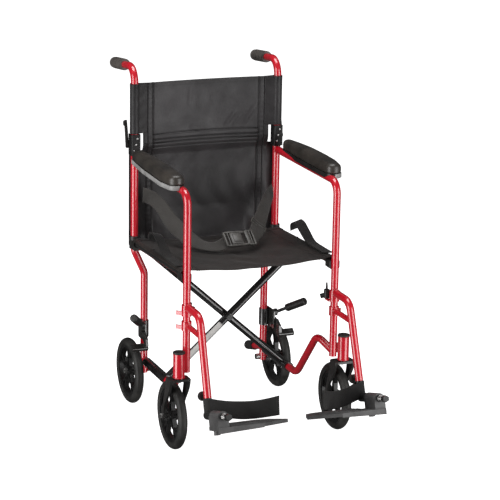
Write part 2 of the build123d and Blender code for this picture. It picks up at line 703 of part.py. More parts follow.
def footrest_extension(s):
    """Inner tube of the hanger with the boss, spring and bolt that carry the footplate."""
    end, down, back = hanger_axis(s)
    rear, front, ahead = pivot_line(s)
    foot = end + down * 48
    with BuildPart() as extension:
        cylinder_between(tuple(end - down * 90), tuple(foot), EXTENSION_R)
        cylinder_between(tuple(end + down * 0.5), tuple(foot), TUBE_R)
        cylinder_between(tuple(rear), tuple(rear + ahead * 50), 13)
        cylinder_between(tuple(rear), tuple(front - ahead * 4), 5)
        # coil spring between two washers, then the lock nut
        cylinder_between(tuple(front - ahead * 42), tuple(front - ahead * 39), 10)
        cylinder_between(tuple(front - ahead * 39), tuple(front - ahead * 14), 8)
        cylinder_between(tuple(front - ahead * 14), tuple(front - ahead * 11), 10)
        add(hex_head(tuple(front - ahead * 11), tuple(ahead), 17, 11))
    return extension


def plate_plane(s):
    """The footplate's own plane: x runs outward, z is its upward normal."""
    up = Vector(0, sin(radians(PLATE_TILT)), cos(radians(PLATE_TILT)))
    rear, front, ahead = pivot_line(s)
    return Plane(origin=tuple(rear - up * 29), x_dir=(1, 0, 0), z_dir=tuple(up))


def footplate(s):
    """Moulded footplate with its hinge barrel, ribs and a bumper below."""
    rear, front, ahead = pivot_line(s)
    plane = plate_plane(s)
    inboard = BOLT_END[0] - 29
    outboard = 17
    with BuildPart() as plate:
        with BuildSketch(plane) as outline:
            with BuildLine():
                Polyline((s * outboard, -128), (s * outboard, -50), (-s * 20, -44),
                         (-s * 30, 14), (-s * (inboard - 56), 16), (-s * (inboard - 28), -4),
                         (-s * inboard, -82), (-s * (inboard - 88), -128),
                         (s * outboard, -128))
            make_face()
        extrude(outline.sketch, amount=-10)
        # the front lip deepens towards the hinge
        with BuildSketch(Plane(origin=plane.from_local_coords((0, -128, 0)),
                               x_dir=(1, 0, 0), z_dir=plane.y_dir)) as lip:
            with BuildLine():
                Polyline((s * outboard, 0), (-s * (inboard - 88), 0),
                         (-s * (inboard - 88), 12), (s * outboard, 17), (s * outboard, 0))
            make_face()
        extrude(lip.sketch, amount=7)
        # hinge barrel on an upright cheek
        cheek_start = rear + ahead * 53
        cheek_end = rear + ahead * 125
        cylinder_between(tuple(cheek_start), tuple(cheek_end), 15)
        with BuildSketch(Plane(origin=tuple(cheek_start), x_dir=(1, 0, 0),
                               z_dir=tuple(ahead))) as cheek:
            with Locations((s * 1, -18)):
                Rectangle(32, 36)
        extrude(cheek.sketch, amount=72)
        cylinder_between(tuple(cheek_start - ahead * 10), tuple(front), 5 + FIT,
                         mode=Mode.SUBTRACT)
        for k in range(3):
            with BuildSketch(plane) as rib:
                with Locations((-s * (26 + 9 * k), -124)):
                    Rectangle(4, 8)
            extrude(rib.sketch, amount=-14)
        with BuildSketch(plane.offset(-8)) as bumper:
            with Locations((0, -64)):
                Circle(9)
        extrude(bumper.sketch, amount=-16)
    return plate


def heel_loop(s):
    """Closed band of the heel loop: a ring round the extension and a doubled strap."""
    end, down, back = hanger_axis(s)
    low = end + down * 48
    middle = end + down * 25
    tip = Vector(s * 64, -446, 217)
    rear, front, ahead = pivot_line(s)
    run = (tip - middle).normalized()
    across = run.cross(down).normalized()
    with BuildPart() as loop:
        cylinder_between(tuple(low), tuple(low - down * 47), TUBE_R + 4)
        with BuildSketch(Plane(origin=tuple(middle), x_dir=tuple(across),
                               z_dir=tuple(run))) as strap_end:
            Rectangle(9, 46)
        extrude(strap_end.sketch, amount=(tip - middle).length)
        cylinder_between(tuple(low + down * 30), tuple(low - down * 80), TUBE_R + 0.4,
                         mode=Mode.SUBTRACT)
        # the band clears the pivot boss at the foot of the tube
        cylinder_between(tuple(rear - ahead * 20), tuple(rear + ahead * 52), 13.5,
                         mode=Mode.SUBTRACT)
    return loop


# ---- soft parts ----
def seat_sling():
    """Seat sling: a shallow trough lying over both seat rails."""
    half = POST_X + TUBE_R + 1
    start = FRONT_Y + 16
    length = SEAT_DEPTH - 32
    tilt = degrees(atan2(SEAT_FRONT_Z - SEAT_REAR_Z, SEAT_DEPTH))
    top = seat_rail_z(start) + TUBE_R + GAP
    frame = Plane(origin=(0, start, top), x_dir=(1, 0, 0),
                  z_dir=(0, -cos(radians(tilt)), sin(radians(tilt))))
    with BuildPart() as sling:
        with BuildSketch(frame) as section:
            with BuildLine():
                edge = Polyline((-half, 0), (-half, 4), (-POST_X + 12, 4))
                ThreePointArc((-POST_X + 12, 4), (0, -12), (POST_X - 12, 4))
                Polyline((POST_X - 12, 4), (half, 4), (half, 0), (POST_X - 12, 0))
                ThreePointArc((POST_X - 12, 0), (0, -16), (-POST_X + 12, 0))
                Line((-POST_X + 12, 0), (-half, 0))
            make_face()
        extrude(section.sketch, amount=-length)
    return sling


def upper_back_sling():
    """Upper back panel between the two sleeves round the handle tubes."""
    low = 838
    high = 983
    with BuildPart() as sling:
        with BuildSketch(Plane.XY.offset(low)) as section:
            with BuildLine():
                Line((-POST_X, REAR_Y - 3), (-POST_X, REAR_Y + 2))
                ThreePointArc((-POST_X, REAR_Y + 2), (0, REAR_Y + 12), (POST_X, REAR_Y + 2))
                Line((POST_X, REAR_Y + 2), (POST_X, REAR_Y - 3))
                ThreePointArc((POST_X, REAR_Y - 3), (0, REAR_Y + 7), (-POST_X, REAR_Y - 3))
            make_face()
            for side in (-1, 1):
                with Locations((side * POST_X, REAR_Y)):
                    Circle(TUBE_R + 2.6)
            for side in (-1, 1):
                with Locations((side * POST_X, REAR_Y)):
                    Circle(TUBE_R + 0.3, mode=Mode.SUBTRACT)
        extrude(section.sketch, amount=high - low)
    return sling


def lower_back_sling():
    """Lower back panel, hung behind the lower posts and bowed to the rear."""
    low = 525
    high = 758
    y = REAR_Y + TUBE_R + GAP
    half = POST_X + 12
    with BuildPart() as sling:
        with BuildSketch(Plane.XY.offset(low)) as section:
            with BuildLine():
                Polyline((-half, y + 4), (-half, y), (-POST_X + 16, y))
                ThreePointArc((-POST_X + 16, y), (0, y + 10), (POST_X - 16, y))
                Polyline((POST_X - 16, y), (half, y), (half, y + 4), (POST_X - 16, y + 4))
                ThreePointArc((POST_X - 16, y + 4), (0, y + 14), (-POST_X + 16, y + 4))
                Line((-POST_X + 16, y + 4), (-half, y + 4))
            make_face()
        extrude(section.sketch, amount=high - low)
    return sling


BUCKLE = (14, 92, 527)       # centre of the belt's buckle on the seat
BUCKLE_LEAN = 34             # its face leans back towards the occupant


def strap(points, width, thick):
    """A flat strap along straight runs, standing on its edge line."""
    with BuildPart() as band:
        for (x0, y0, z0), (x1, y1, z1) in zip(points, points[1:]):
            a = Vector(x0, y0, z0)
            b = Vector(x1, y1, z1)
            side = (b - a).cross(Vector(0, 0, 1)).normalized()
            across = (b - a).normalized().cross(side).normalized()
            plane = Plane(origin=tuple(a), x_dir=tuple(across), z_dir=tuple(b - a))
            with BuildSketch(plane) as section:
                Rectangle(width, thick)
            extrude(section.sketch, amount=(b - a).length)
    return band.part


def seat_belt():
    """Both halves of the seat belt, from the rear posts down to the buckle."""
    bx, by, bz = BUCKLE
    with BuildPart() as belt:
        for s in (-1, 1):
            inner = bx + s * 45
            add(strap([(s * (POST_X - 18), REAR_Y - 20, 600), (s * 130, 205, 552)], 42, 3))
            add(strap([(s * 128, 203, 549), (inner, by, 542)], 42, 3))
    return belt


def belt_buckle():
    """Side-release buckle, leaning back on the belt: the socket and the plug as two bodies."""
    bx, by, bz = BUCKLE
    with BuildPart() as buckle:
        for x, width in ((bx - 14, 34), (bx + 22, 32)):
            with Locations(Location((x, by - 4, bz + 20), (BUCKLE_LEAN, 0, 0))):
                Box(width, 48, 10)
        fillet(buckle.edges().filter_by(lambda e: abs(e.length - 10) < 0.01), radius=3)
    return buckle


# ---- build and write every piece ----
for name, s in SIDES.items():
    axle_y = CASTER_Y + CASTER_TRAIL
    save(side_frame(s), f"{name}_side_frame")
    save(rail_saddles(s), f"{name}_rail_saddles")
    save(arm_pad_base(s), f"{name}_arm_pad_base")
    save(arm_pad(s), f"{name}_arm_pad")
    save(frame_caps(s), f"{name}_frame_caps")
    save(rear_axle_set(s), f"{name}_rear_axle_set")
    save(tyre(s * REAR_WHEEL_X, REAR_AXLE[0]), f"{name}_rear_tyre")
    save(rim(s * REAR_WHEEL_X, REAR_AXLE[0]), f"{name}_rear_rim")
    save(tyre(s * CASTER_X, axle_y), f"{name}_front_tyre")
    save(rim(s * CASTER_X, axle_y), f"{name}_front_rim")
    save(fork(s), f"{name}_caster_fork")
    save(caster_hardware(s), f"{name}_caster_hardware")
    save(brake_bracket(s), f"{name}_brake_bracket")
    save(brake_lever(s), f"{name}_brake_lever")
    save(brake_grip(s), f"{name}_brake_grip")
    save(brake_shoe(s), f"{name}_brake_shoe")
    save(back_hinge(s), f"{name}_back_hinge")
    save(handle_tube(s), f"{name}_handle_tube")
    save(push_grip(s), f"{name}_push_grip")
    save(back_latch(s), f"{name}_back_latch")
    save(footrest_hanger(s), f"{name}_footrest_hanger")
    save(footrest_latch(s), f"{name}_footrest_latch")
    save(footrest_knob(s), f"{name}_footrest_knob")
    save(footrest_extension(s), f"{name}_footrest_extension")
    save(footplate(s), f"{name}_footplate")
    save(heel_loop(s), f"{name}_heel_loop")

save(cross_brace(-1, BRACE_B_Y), "cross_brace_front")
save(cross_brace(1, BRACE_A_Y), "cross_brace_rear")
save(brace_pivot(), "brace_pivot_bolt")
save(seat_sling(), "seat_sling")
save(upper_back_sling(), "upper_back_sling")
save(lower_back_sling(), "lower_back_sling")
save(seat_belt(), "seat_belt")
save(belt_buckle(), "belt_buckle")
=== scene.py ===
import math

import bmesh
import bpy
import numpy as np
from mathutils import Matrix, Vector


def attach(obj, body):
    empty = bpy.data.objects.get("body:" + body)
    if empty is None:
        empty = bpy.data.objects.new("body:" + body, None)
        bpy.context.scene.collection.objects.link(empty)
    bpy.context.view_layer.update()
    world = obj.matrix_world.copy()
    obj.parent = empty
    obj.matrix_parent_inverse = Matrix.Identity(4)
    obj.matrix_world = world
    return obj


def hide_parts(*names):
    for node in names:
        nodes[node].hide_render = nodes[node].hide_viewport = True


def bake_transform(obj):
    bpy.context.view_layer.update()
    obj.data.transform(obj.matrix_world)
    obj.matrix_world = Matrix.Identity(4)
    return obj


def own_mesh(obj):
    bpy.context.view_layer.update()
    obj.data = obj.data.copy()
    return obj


# A folding transport wheelchair. Metres, +Z up, +Y rear, +X the occupant's left.

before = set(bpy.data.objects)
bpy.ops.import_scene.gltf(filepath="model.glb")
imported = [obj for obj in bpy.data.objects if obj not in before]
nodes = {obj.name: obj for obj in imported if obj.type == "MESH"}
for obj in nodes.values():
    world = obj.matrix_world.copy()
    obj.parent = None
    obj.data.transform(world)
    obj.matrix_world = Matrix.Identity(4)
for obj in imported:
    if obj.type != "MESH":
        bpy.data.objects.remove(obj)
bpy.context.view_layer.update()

SIDES = (("right", -1), ("left", 1))
POST_X = 0.227          # posts, on either side of the middle
FRONT_Y = -0.143        # front posts
REAR_Y = 0.314          # rear posts
TUBE_R = 0.0111         # outer radius of the frame tube
HINGE_Z = 0.800         # line about which the back folds

BACK_FOOT = 0.490       # lower edge of the back
SLEEVE_FOOT = 0.834     # lower edge of the sleeves round the handle tubes
BACK_TOP = 0.983        # upper edge of the back
SEAM_X = 0.187          # where the middle of the back meets its two side strips


# ---- camera ----
def place_camera():
    """The camera at the angle of the product picture, with a slight roll."""
    turned, raised, roll = math.radians(-22), math.radians(15.23), math.radians(0.97)
    distance = 6.2339
    target = Vector((0, -0.049, 0.55181))
    back = Vector((math.sin(turned) * math.cos(raised), -math.cos(turned) * math.cos(raised),
                   math.sin(raised)))
    right = Vector((0, 0, 1)).cross(back).normalized()
    up = back.cross(right)
    across = right * math.cos(roll) + up * math.sin(roll)
    upward = back.cross(across)
    axes = Matrix((across, upward, back)).transposed().to_4x4()
    camera = bpy.data.objects.new("camera", bpy.data.cameras.new("camera"))
    camera.data.sensor_width = 36
    camera.data.lens = 156.25
    camera.data.clip_end = 50
    camera.matrix_world = Matrix.Translation(target + back * distance) @ axes
    bpy.context.collection.objects.link(camera)
    bpy.context.scene.camera = camera


# ---- materials ----
class Shader:
    """A Principled material that is built up node by node."""

    def __init__(self, name, colour, rough, metallic=0.0, coat=0.0, coat_rough=0.05,
                 specular=0.5, sheen=0.0):
        self.material = bpy.data.materials.new(name)
        self.material.use_nodes = True
        self.tree = self.material.node_tree
        self.main = self.tree.nodes["Principled BSDF"]
        self.normal = None
        values = {"Base Color": (*colour, 1), "Roughness": rough, "Metallic": metallic,
                  "Coat Weight": coat, "Coat Roughness": coat_rough,
                  "Specular IOR Level": specular, "Sheen Weight": sheen,
                  "Sheen Roughness": 0.4}
        for socket, value in values.items():
            self.main.inputs[socket].default_value = value

    def node(self, kind, **settings):
        """A new node. Each setting is one of its sockets, or else one of its properties."""
        made = self.tree.nodes.new(kind)
        for key, value in settings.items():
            if key in made.inputs:
                made.inputs[key].default_value = value
            else:
                setattr(made, key, value)
        return made

    def link(self, out, into):
        self.tree.links.new(out, into)

    def point(self, kind="Object"):
        return self.node("ShaderNodeTexCoord").outputs[kind]

    def noise(self, scale, detail, stretch=None):
        """Noise, as a value about 0.5, that can be drawn out along an axis."""
        place = self.point()
        if stretch:
            mapping = self.node("ShaderNodeMapping")
            mapping.inputs["Scale"].default_value = stretch
            self.link(place, mapping.inputs["Vector"])
            place = mapping.outputs["Vector"]
        noise = self.node("ShaderNodeTexNoise", Scale=scale, Detail=detail)
        self.link(place, noise.inputs["Vector"])
        return noise.outputs["Fac"]

    def paint(self, value, first, last):
        """The base colour runs from the first colour to the last with the value."""
        ramp = self.node("ShaderNodeValToRGB")
        stops = ramp.color_ramp.elements
        stops[0].position, stops[0].color = 0.35, (*first, 1)
        stops[1].position, stops[1].color = 0.65, (*last, 1)
        self.link(value, ramp.inputs["Fac"])
        self.link(ramp.outputs["Color"], self.main.inputs["Base Color"])

    def roughen(self, value, low, high):
        """The roughness runs from low to high with the value."""
        spread = self.node("ShaderNodeMapRange")
        for key, number in (("From Min", 0.3), ("From Max", 0.7),
                            ("To Min", low), ("To Max", high)):
            spread.inputs[key].default_value = number
        self.link(value, spread.inputs["Value"])
        self.link(spread.outputs["Result"], self.main.inputs["Roughness"])

    def bump(self, value, depth, strength=1.0):
        """Adds relief of that depth in metres on top of what there is."""
        bump = self.node("ShaderNodeBump", Strength=strength, Distance=depth)
        self.link(value, bump.inputs["Height"])
        if self.normal:
            self.link(self.normal, bump.inputs["Normal"])
        self.normal = bump.outputs["Normal"]
        self.link(self.normal, self.main.inputs["Normal"])

    def wave(self, kind, period, **settings):
        """Sine bands or rings with that period in metres."""
        return self.node("ShaderNodeTexWave", wave_type=kind, wave_profile="SIN",
                         Scale=math.pi / 10 / period, **settings)

    def weave(self, across, along):
        """Over-and-under threads on the UVs, which are in metres."""
        threads = []
        for direction, period in (("X", across), ("Y", along)):
            wave = self.wave("BANDS", period, bands_direction=direction)
            self.link(self.point("UV"), wave.inputs["Vector"])
            threads.append(wave.outputs["Fac"])
        mix = self.node("ShaderNodeMath", operation="MULTIPLY")
        self.link(threads[0], mix.inputs[0])
        self.link(threads[1], mix.inputs[1])
        return mix.outputs["Value"]


def paint_material(name, colour, other, rough):
    """Baked gloss paint: clear coat, slight orange peel and faint colour change."""
    s = Shader(name, colour, rough, coat=1.0, coat_rough=0.15)
    s.main.inputs["Coat IOR"].default_value = 1.8
    s.paint(s.noise(9, 2), other, colour)
    s.roughen(s.noise(40, 3), rough * 0.92, rough * 1.1)
    s.bump(s.noise(60, 2), 0.00001, 0.05)
    return s.material


def plastic_material(name, dark, light, rough, grain=900, depth=0.00008, specular=0.5):
    """Moulded plastic or rubber with a fine spark-eroded grain."""
    s = Shader(name, light, rough, specular=specular)
    s.paint(s.noise(25, 4), dark, light)
    s.roughen(s.noise(90, 4), rough * 0.85, rough * 1.2)
    s.bump(s.noise(grain, 2), depth, 0.6)
    return s.material


def steel_material(name, colour, rough, metallic=1.0):
    """Plated steel with fine drawn lines and dull patches."""
    s = Shader(name, colour, rough, metallic=metallic)
    s.paint(s.noise(40, 5), tuple(c * 0.75 for c in colour), colour)
    s.roughen(s.noise(150, 5), rough * 0.7, rough * 1.5)
    s.bump(s.noise(300, 3, stretch=(1, 1, 12)), 0.00003, 0.6)
    return s.material


def cloth_material(name, dark, light, rough, across, along, depth, sheen, worn=0.5):
    """Woven nylon: threads, uneven dye and soft sheen. Thread sizes are in metres."""
    s = Shader(name, light, rough, specular=0.35, sheen=sheen)
    s.paint(s.noise(7, 5), dark, light)
    # painted shade: seams, stitch lines, hems and edges are darkened towards near black, as the
    # mesh's painted_shade attribute says
    seam = s.node("ShaderNodeAttribute", attribute_name="painted_shade")
    mix = s.node("ShaderNodeMix", data_type="RGBA")
    s.link(seam.outputs["Fac"], mix.inputs["Factor"])
    s.link(s.main.inputs["Base Color"].links[0].from_socket, mix.inputs[6])
    mix.inputs[7].default_value = (0.004, 0.0035, 0.0035, 1)
    s.link(mix.outputs[2], s.main.inputs["Base Color"])
    s.roughen(s.noise(18, 4), rough - 0.1, rough + 0.12)
    s.bump(s.noise(11, 3), 0.004, worn)
    s.bump(s.noise(45, 4), 0.0007, worn)
    s.bump(s.weave(across, along), depth, 0.8)
    return s.material


def tyre_material(name, x, y):
    """Grey-black solid tyre: side rings and tread lines about its own axle."""
    s = Shader(name, (0.03, 0.029, 0.027), 0.50, specular=0.35)
    s.paint(s.noise(30, 5), (0.015, 0.0145, 0.0135), (0.036, 0.035, 0.033))
    centre = s.node("ShaderNodeMapping")
    centre.inputs["Location"].default_value = (-x, -y, -WHEEL_Z)
    s.link(s.point(), centre.inputs["Vector"])
    for kind, period, depth in (("RINGS", 0.0040, 0.0003), ("BANDS", 0.0045, 0.0004)):
        wave = s.wave(kind, period, rings_direction="X")
        s.link(centre.outputs["Vector"], wave.inputs["Vector"])
        s.bump(wave.outputs["Fac"], depth, 0.5)
    s.bump(s.noise(500, 3), 0.0001, 0.5)
    return s.material


def label_material():
    """Blank paper label under clear film."""
    s = Shader("blank_label", (0.56, 0.55, 0.53), 0.40, coat=0.2)
    s.paint(s.noise(60, 4), (0.48, 0.47, 0.45), (0.60, 0.59, 0.57))
    s.bump(s.noise(200, 3), 0.00005, 0.4)
    return s.material


def pad_material():
    """Soft vinyl of the armrests: leather grain, brown-black, half gloss."""
    s = Shader("pad_vinyl", (0.030, 0.026, 0.022), 0.42, coat=0.6, coat_rough=0.32)
    s.paint(s.noise(14, 5), (0.018, 0.0155, 0.013), (0.050, 0.042, 0.035))
    s.roughen(s.noise(60, 5), 0.34, 0.50)
    cells = s.node("ShaderNodeTexVoronoi", Scale=520, feature="DISTANCE_TO_EDGE")
    s.link(s.point(), cells.inputs["Vector"])
    s.bump(cells.outputs["Distance"], 0.0003, 0.5)
    s.bump(s.noise(60, 4), 0.0004, 0.3)
    return s.material


RED = paint_material("red_paint", (0.64, 0.005, 0.020), (0.58, 0.004, 0.017), 0.30)
BLACK_GLOSS = paint_material("black_gloss_paint", (0.012, 0.011, 0.011),
                             (0.007, 0.006, 0.006), 0.25)
BLACK_PAINT = paint_material("black_paint", (0.020, 0.019, 0.018), (0.012, 0.011, 0.010), 0.38)
STEEL = steel_material("zinc_steel", (0.62, 0.61, 0.60), 0.32)
DARK_STEEL = steel_material("hinge_steel", (0.030, 0.030, 0.030), 0.30, metallic=0.3)
BLACK_PLASTIC = plastic_material("black_plastic", (0.014, 0.013, 0.012),
                                 (0.026, 0.025, 0.024), 0.38)
WHEEL_PLASTIC = plastic_material("wheel_plastic", (0.007, 0.007, 0.007),
                                 (0.015, 0.014, 0.014), 0.30, specular=0.4)
FORK_PLASTIC = plastic_material("fork_plastic", (0.020, 0.019, 0.018),
                                (0.036, 0.034, 0.033), 0.30)
PLATE = plastic_material("plate_plastic", (0.050, 0.049, 0.049), (0.085, 0.083, 0.083), 0.45,
                         grain=1400, depth=0.00012)
HINGE_BLACK = plastic_material("hinge_black", (0.008, 0.008, 0.008), (0.014, 0.013, 0.013), 0.50,
                               specular=0.25)
BOOT = plastic_material("boot_rubber", (0.016, 0.015, 0.014), (0.030, 0.028, 0.027), 0.55)
GRIP = plastic_material("grip_rubber", (0.070, 0.062, 0.056), (0.125, 0.112, 0.102), 0.42,
                        grain=700, depth=0.00012)
SHELL = plastic_material("pad_shell", (0.012, 0.011, 0.011), (0.022, 0.021, 0.020), 0.32)
# painted reflection: the tray's dark glossy edge gets a light grey that stands for the light it
# reflects
TRAY_EDGE_PAINTED_REFLECTION = plastic_material("tray_edge_painted_reflection", (0.24, 0.235, 0.23), (0.36, 0.355, 0.35), 0.30)
BUCKLE = plastic_material("buckle_plastic", (0.055, 0.052, 0.048), (0.095, 0.090, 0.083), 0.34)
NYLON_BACK = cloth_material("nylon_back", (0.027, 0.025, 0.026), (0.046, 0.042, 0.044), 0.44,
                            0.0009, 0.0011, 0.00006, sheen=0.14)
NYLON_SEAT = cloth_material("nylon_seat", (0.012, 0.0095, 0.008), (0.026, 0.020, 0.017), 0.60,
                            0.0009, 0.0011, 0.00006, sheen=0.08)
WEBBING = cloth_material("webbing", (0.022, 0.020, 0.018), (0.048, 0.044, 0.040), 0.60,
                         0.0016, 0.0028, 0.0004, sheen=0.2, worn=0.2)
LOOP_WEB = cloth_material("loop_webbing", (0.010, 0.009, 0.009), (0.018, 0.017, 0.016), 0.70,
                          0.0016, 0.0028, 0.0004, sheen=0.1, worn=0.3)
VINYL = pad_material()
LABEL = label_material()

PART_MATERIALS = {
    "side_frame": RED, "handle_tube": RED, "footrest_hanger": RED,
    "rail_saddles": BLACK_PLASTIC, "arm_pad_base": SHELL, "frame_caps": BOOT,
    "rear_axle_set": STEEL, "rear_rim": WHEEL_PLASTIC, "front_rim": WHEEL_PLASTIC,
    "caster_fork": FORK_PLASTIC, "caster_hardware": STEEL, "brake_bracket": BLACK_PAINT,
    "brake_lever": DARK_STEEL, "brake_grip": BLACK_PLASTIC, "brake_shoe": BLACK_PAINT,
    "back_hinge": HINGE_BLACK, "push_grip": GRIP, "back_latch": BLACK_PLASTIC,
    "footrest_latch": BLACK_PLASTIC, "footrest_knob": BLACK_PLASTIC,
    "footrest_extension": DARK_STEEL, "footplate": PLATE,
}
WHEELS = {"rear": (0.2393, 0.315), "front": (0.254, -0.105)}     # x and y of each axle
WHEEL_Z = 0.1


def set_material(name, material):
    """Gives a CAD node one material, in every slot that it has."""
    slots = nodes[name].data.materials
    if not slots:
        slots.append(material)
    for i in range(len(slots)):
        slots[i] = material


def paint_nodes():
    """Gives every hard CAD node its material."""
    for side, s in SIDES:
        for part, material in PART_MATERIALS.items():
            set_material(f"{side}_{part}", material)
        for end, (x, y) in WHEELS.items():
            name = f"{side}_{end}_tyre"
            set_material(name, tyre_material(name, s * x, y))
    for name in ("cross_brace_front", "cross_brace_rear"):
        set_material(name, BLACK_GLOSS)
    set_material("brace_pivot_bolt", BLACK_PAINT)


# ---- helpers for pieces ----
def smooth_step(value, low, high):
    """0 below low and 1 above high, with an easy curve between them."""
    t = min(1.0, max(0.0, (value - low) / (high - low)))
    return t * t * (3 - 2 * t)


def link_mesh(name, points, faces, uvs, material, thick=0.0, painted_shade=None):
    """A smooth mesh object. uvs has one (u, v) for each point, and painted_shade how much painted
    shade darkens it.
    """
    mesh = bpy.data.meshes.new(name)
    mesh.from_pydata(points, [], faces)
    layer = mesh.uv_layers.new(name="UVMap")
    for loop in mesh.loops:
        layer.data[loop.index].uv = uvs[loop.vertex_index]
    for polygon in mesh.polygons:
        polygon.use_smooth = True
    # painted shade, kept per point for the cloth material to darken its colour with
    if painted_shade:
        mesh.attributes.new("painted_shade", "FLOAT", "POINT").data.foreach_set("value", painted_shade)
    mesh.materials.append(material)
    made = bpy.data.objects.new(name, mesh)
    bpy.context.collection.objects.link(made)
    if thick:
        shell = made.modifiers.new("thickness", "SOLIDIFY")
        shell.thickness = thick
        shell.offset = 0
        shell.use_even_offset = True
    return made


def grid(name, columns, rows, place, size, material, thick=0.0, wrap=False, dark=None):
    """A sheet of quads through place(u, v), with u and v from 0 to 1; dark(x, y, z) gives each
    point's painted shade.
    """
    points, uvs, faces, painted_shade = [], [], [], []
    for j in range(rows + 1):
        for i in range(columns + (0 if wrap else 1)):
            u, v = i / columns, j / rows
            points.append(tuple(place(u, v)))
            uvs.append((u * size[0], v * size[1]))
            if dark:
                painted_shade.append(min(1.0, dark(*points[-1])))
    row = columns + (0 if wrap else 1)
    for j in range(rows):
        for i in range(columns):
            k = (i + 1) % row
            faces.append((j * row + i, j * row + k, (j + 1) * row + k, (j + 1) * row + i))
    return link_mesh(name, points, faces, uvs, material, thick, painted_shade)


def smooth_line(points, count):
    """Points along a smooth line through the given ones, by Catmull and Rom's rule."""
    p = [np.array(q, float) for q in points]
    p = [2 * p[0] - p[1]] + p + [2 * p[-1] - p[-2]]
    made = []
    for k in range(count + 1):
        t = k / count * (len(p) - 3)
        i = min(int(t), len(p) - 4)
        f = t - i
        a, b, c, d = p[i:i + 4]
        made.append(0.5 * (2 * b + (c - a) * f + (2 * a - 5 * b + 4 * c - d) * f * f
                           + (3 * b - a - 3 * c + d) * f ** 3))
    return made


def line_length(points):
    return sum(float(np.linalg.norm(b - a)) for a, b in zip(points, points[1:]))


def ribbon(name, stations, width, thick, material, count, cup=0.0):
    """A flat strap. Each station is a centre and the direction of the strap's width."""
    centres = smooth_line([c for c, w in stations], count)
    widths = smooth_line([w for c, w in stations], count)
    length = line_length(centres)
    points, uvs, faces = [], [], []
    across = 10
    for k, (centre, side) in enumerate(zip(centres, widths)):
        ahead = centres[min(k + 1, count)] - centres[max(k - 1, 0)]
        side = side / np.linalg.norm(side)
        normal = np.cross(ahead, side)
        normal = normal / np.linalg.norm(normal)
        for i in range(across + 1):
            q = i / across * 2 - 1
            points.append(tuple(centre + side * q * width / 2 + normal * cup * (q * q - 0.4)))
            uvs.append((i / across * width, k / count * length))
    for k in range(count):
        for i in range(across):
            a = k * (across + 1) + i
            faces.append((a, a + 1, a + across + 2, a + across + 1))
    made = link_mesh(name, points, faces, uvs, material, thick)
    return made, length


def box_shape(mesh, size, matrix, bevel, segments=3):
    """Adds a box with rounded edges to a bmesh."""
    made = bmesh.ops.create_cube(mesh, size=1.0)
    bmesh.ops.scale(mesh, vec=size, verts=made["verts"])
    edges = list({e for v in made["verts"] for e in v.link_edges})
    rounded = bmesh.ops.bevel(mesh, geom=edges, offset=bevel, segments=segments,
                              profile=0.5, affect="EDGES")
    fresh = {v for f in rounded["faces"] for v in f.verts}
    island, todo = set(fresh), list(fresh)
    while todo:
        for edge in todo.pop().link_edges:
            for v in edge.verts:
                if v not in island:
                    island.add(v)
                    todo.append(v)
    bmesh.ops.transform(mesh, matrix=matrix, verts=list(island))


def finish_mesh(name, mesh, material):
    """Turns a bmesh into a piece with smooth faces and crisp edges."""
    data = bpy.data.meshes.new(name)
    mesh.to_mesh(data)
    mesh.free()
    for polygon in data.polygons:
        polygon.use_smooth = True
    data.set_sharp_from_angle(angle=math.radians(40))
    data.materials.append(material)
    made = bpy.data.objects.new(name, data)
    bpy.context.collection.objects.link(made)
    return made


def tube_mesh(name, points, radius, material, sides):
    """A round wire through the given points."""
    p = [Vector(q) for q in points]
    verts, uvs, faces = [], [], []
    side = None
    for k, q in enumerate(p):
        ahead = (p[min(k + 1, len(p) - 1)] - p[max(k - 1, 0)]).normalized()
        if side is None:
            side = ahead.orthogonal().normalized()
        side = (side - ahead * side.dot(ahead)).normalized()
        up = ahead.cross(side)
        for i in range(sides):
            a = 2 * math.pi * i / sides
            verts.append(tuple(q + (side * math.cos(a) + up * math.sin(a)) * radius))
            uvs.append((i / sides, k / len(p)))
    for k in range(len(p) - 1):
        for i in range(sides):
            j = (i + 1) % sides
            faces.append((k * sides + i, k * sides + j, (k + 1) * sides + j, (k + 1) * sides + i))
    faces.append(tuple(range(sides))[::-1])
    faces.append(tuple(range((len(p) - 1) * sides, len(p) * sides)))
    return link_mesh(name, verts, faces, uvs, material)


def bead(name, centre, axis, radius, wire, material):
    """A thin bead round a tube."""
    c, n = Vector(centre), Vector(axis).normalized()
    u = n.orthogonal().normalized()
    v = n.cross(u)
    around, across = 32, 8
    verts, uvs, faces = [], [], []
    for i in range(around):
        a = 2 * math.pi * i / around
        out = u * math.cos(a) + v * math.sin(a)
        for j in range(across):
            b = 2 * math.pi * j / across
            verts.append(tuple(c + out * (radius + wire * math.cos(b)) + n * wire * math.sin(b)))
            uvs.append((i / around, j / across))
    for i in range(around):
        for j in range(across):
            k, m = (i + 1) % around, (j + 1) % across
            faces.append((i * across + j, k * across + j, k * across + m, i * across + m))
    return link_mesh(name, verts, faces, uvs, material)


# ---- back: one middle panel and two side strips, above and below the hinges ----
WRINKLES = (            # (x, z) ends, depth and width of each fold in the upper panel
    ((0.062, 0.838), (0.100, 0.886), 0.0022, 0.006),
    ((0.088, 0.836), (0.112, 0.868), 0.0018, 0.005),
    ((0.118, 0.838), (0.165, 0.905), 0.0024, 0.007),
    ((-0.050, 0.842), (-0.012, 0.834), 0.0018, 0.007),
    ((-0.052, 0.905), (-0.046, 0.972), 0.0014, 0.008),
    ((-0.018, 0.890), (-0.012, 0.960), 0.0010, 0.010),
    ((0.030, 0.900), (0.020, 0.975), 0.0008, 0.012),
    ((0.060, 0.900), (0.075, 0.968), 0.0008, 0.012),
)
CHANNELS = (0.829, 0.813, 0.803, 0.789)     # heights of the sewn lines across the back
SEAMS = (SEAM_X, 0.168)                     # upright seams, on either side


def off_channel(x, z, line):
    """Distance above a sewn line across the back, which dips slightly at its ends."""
    return z - line + 0.004 * (x / 0.18) ** 2


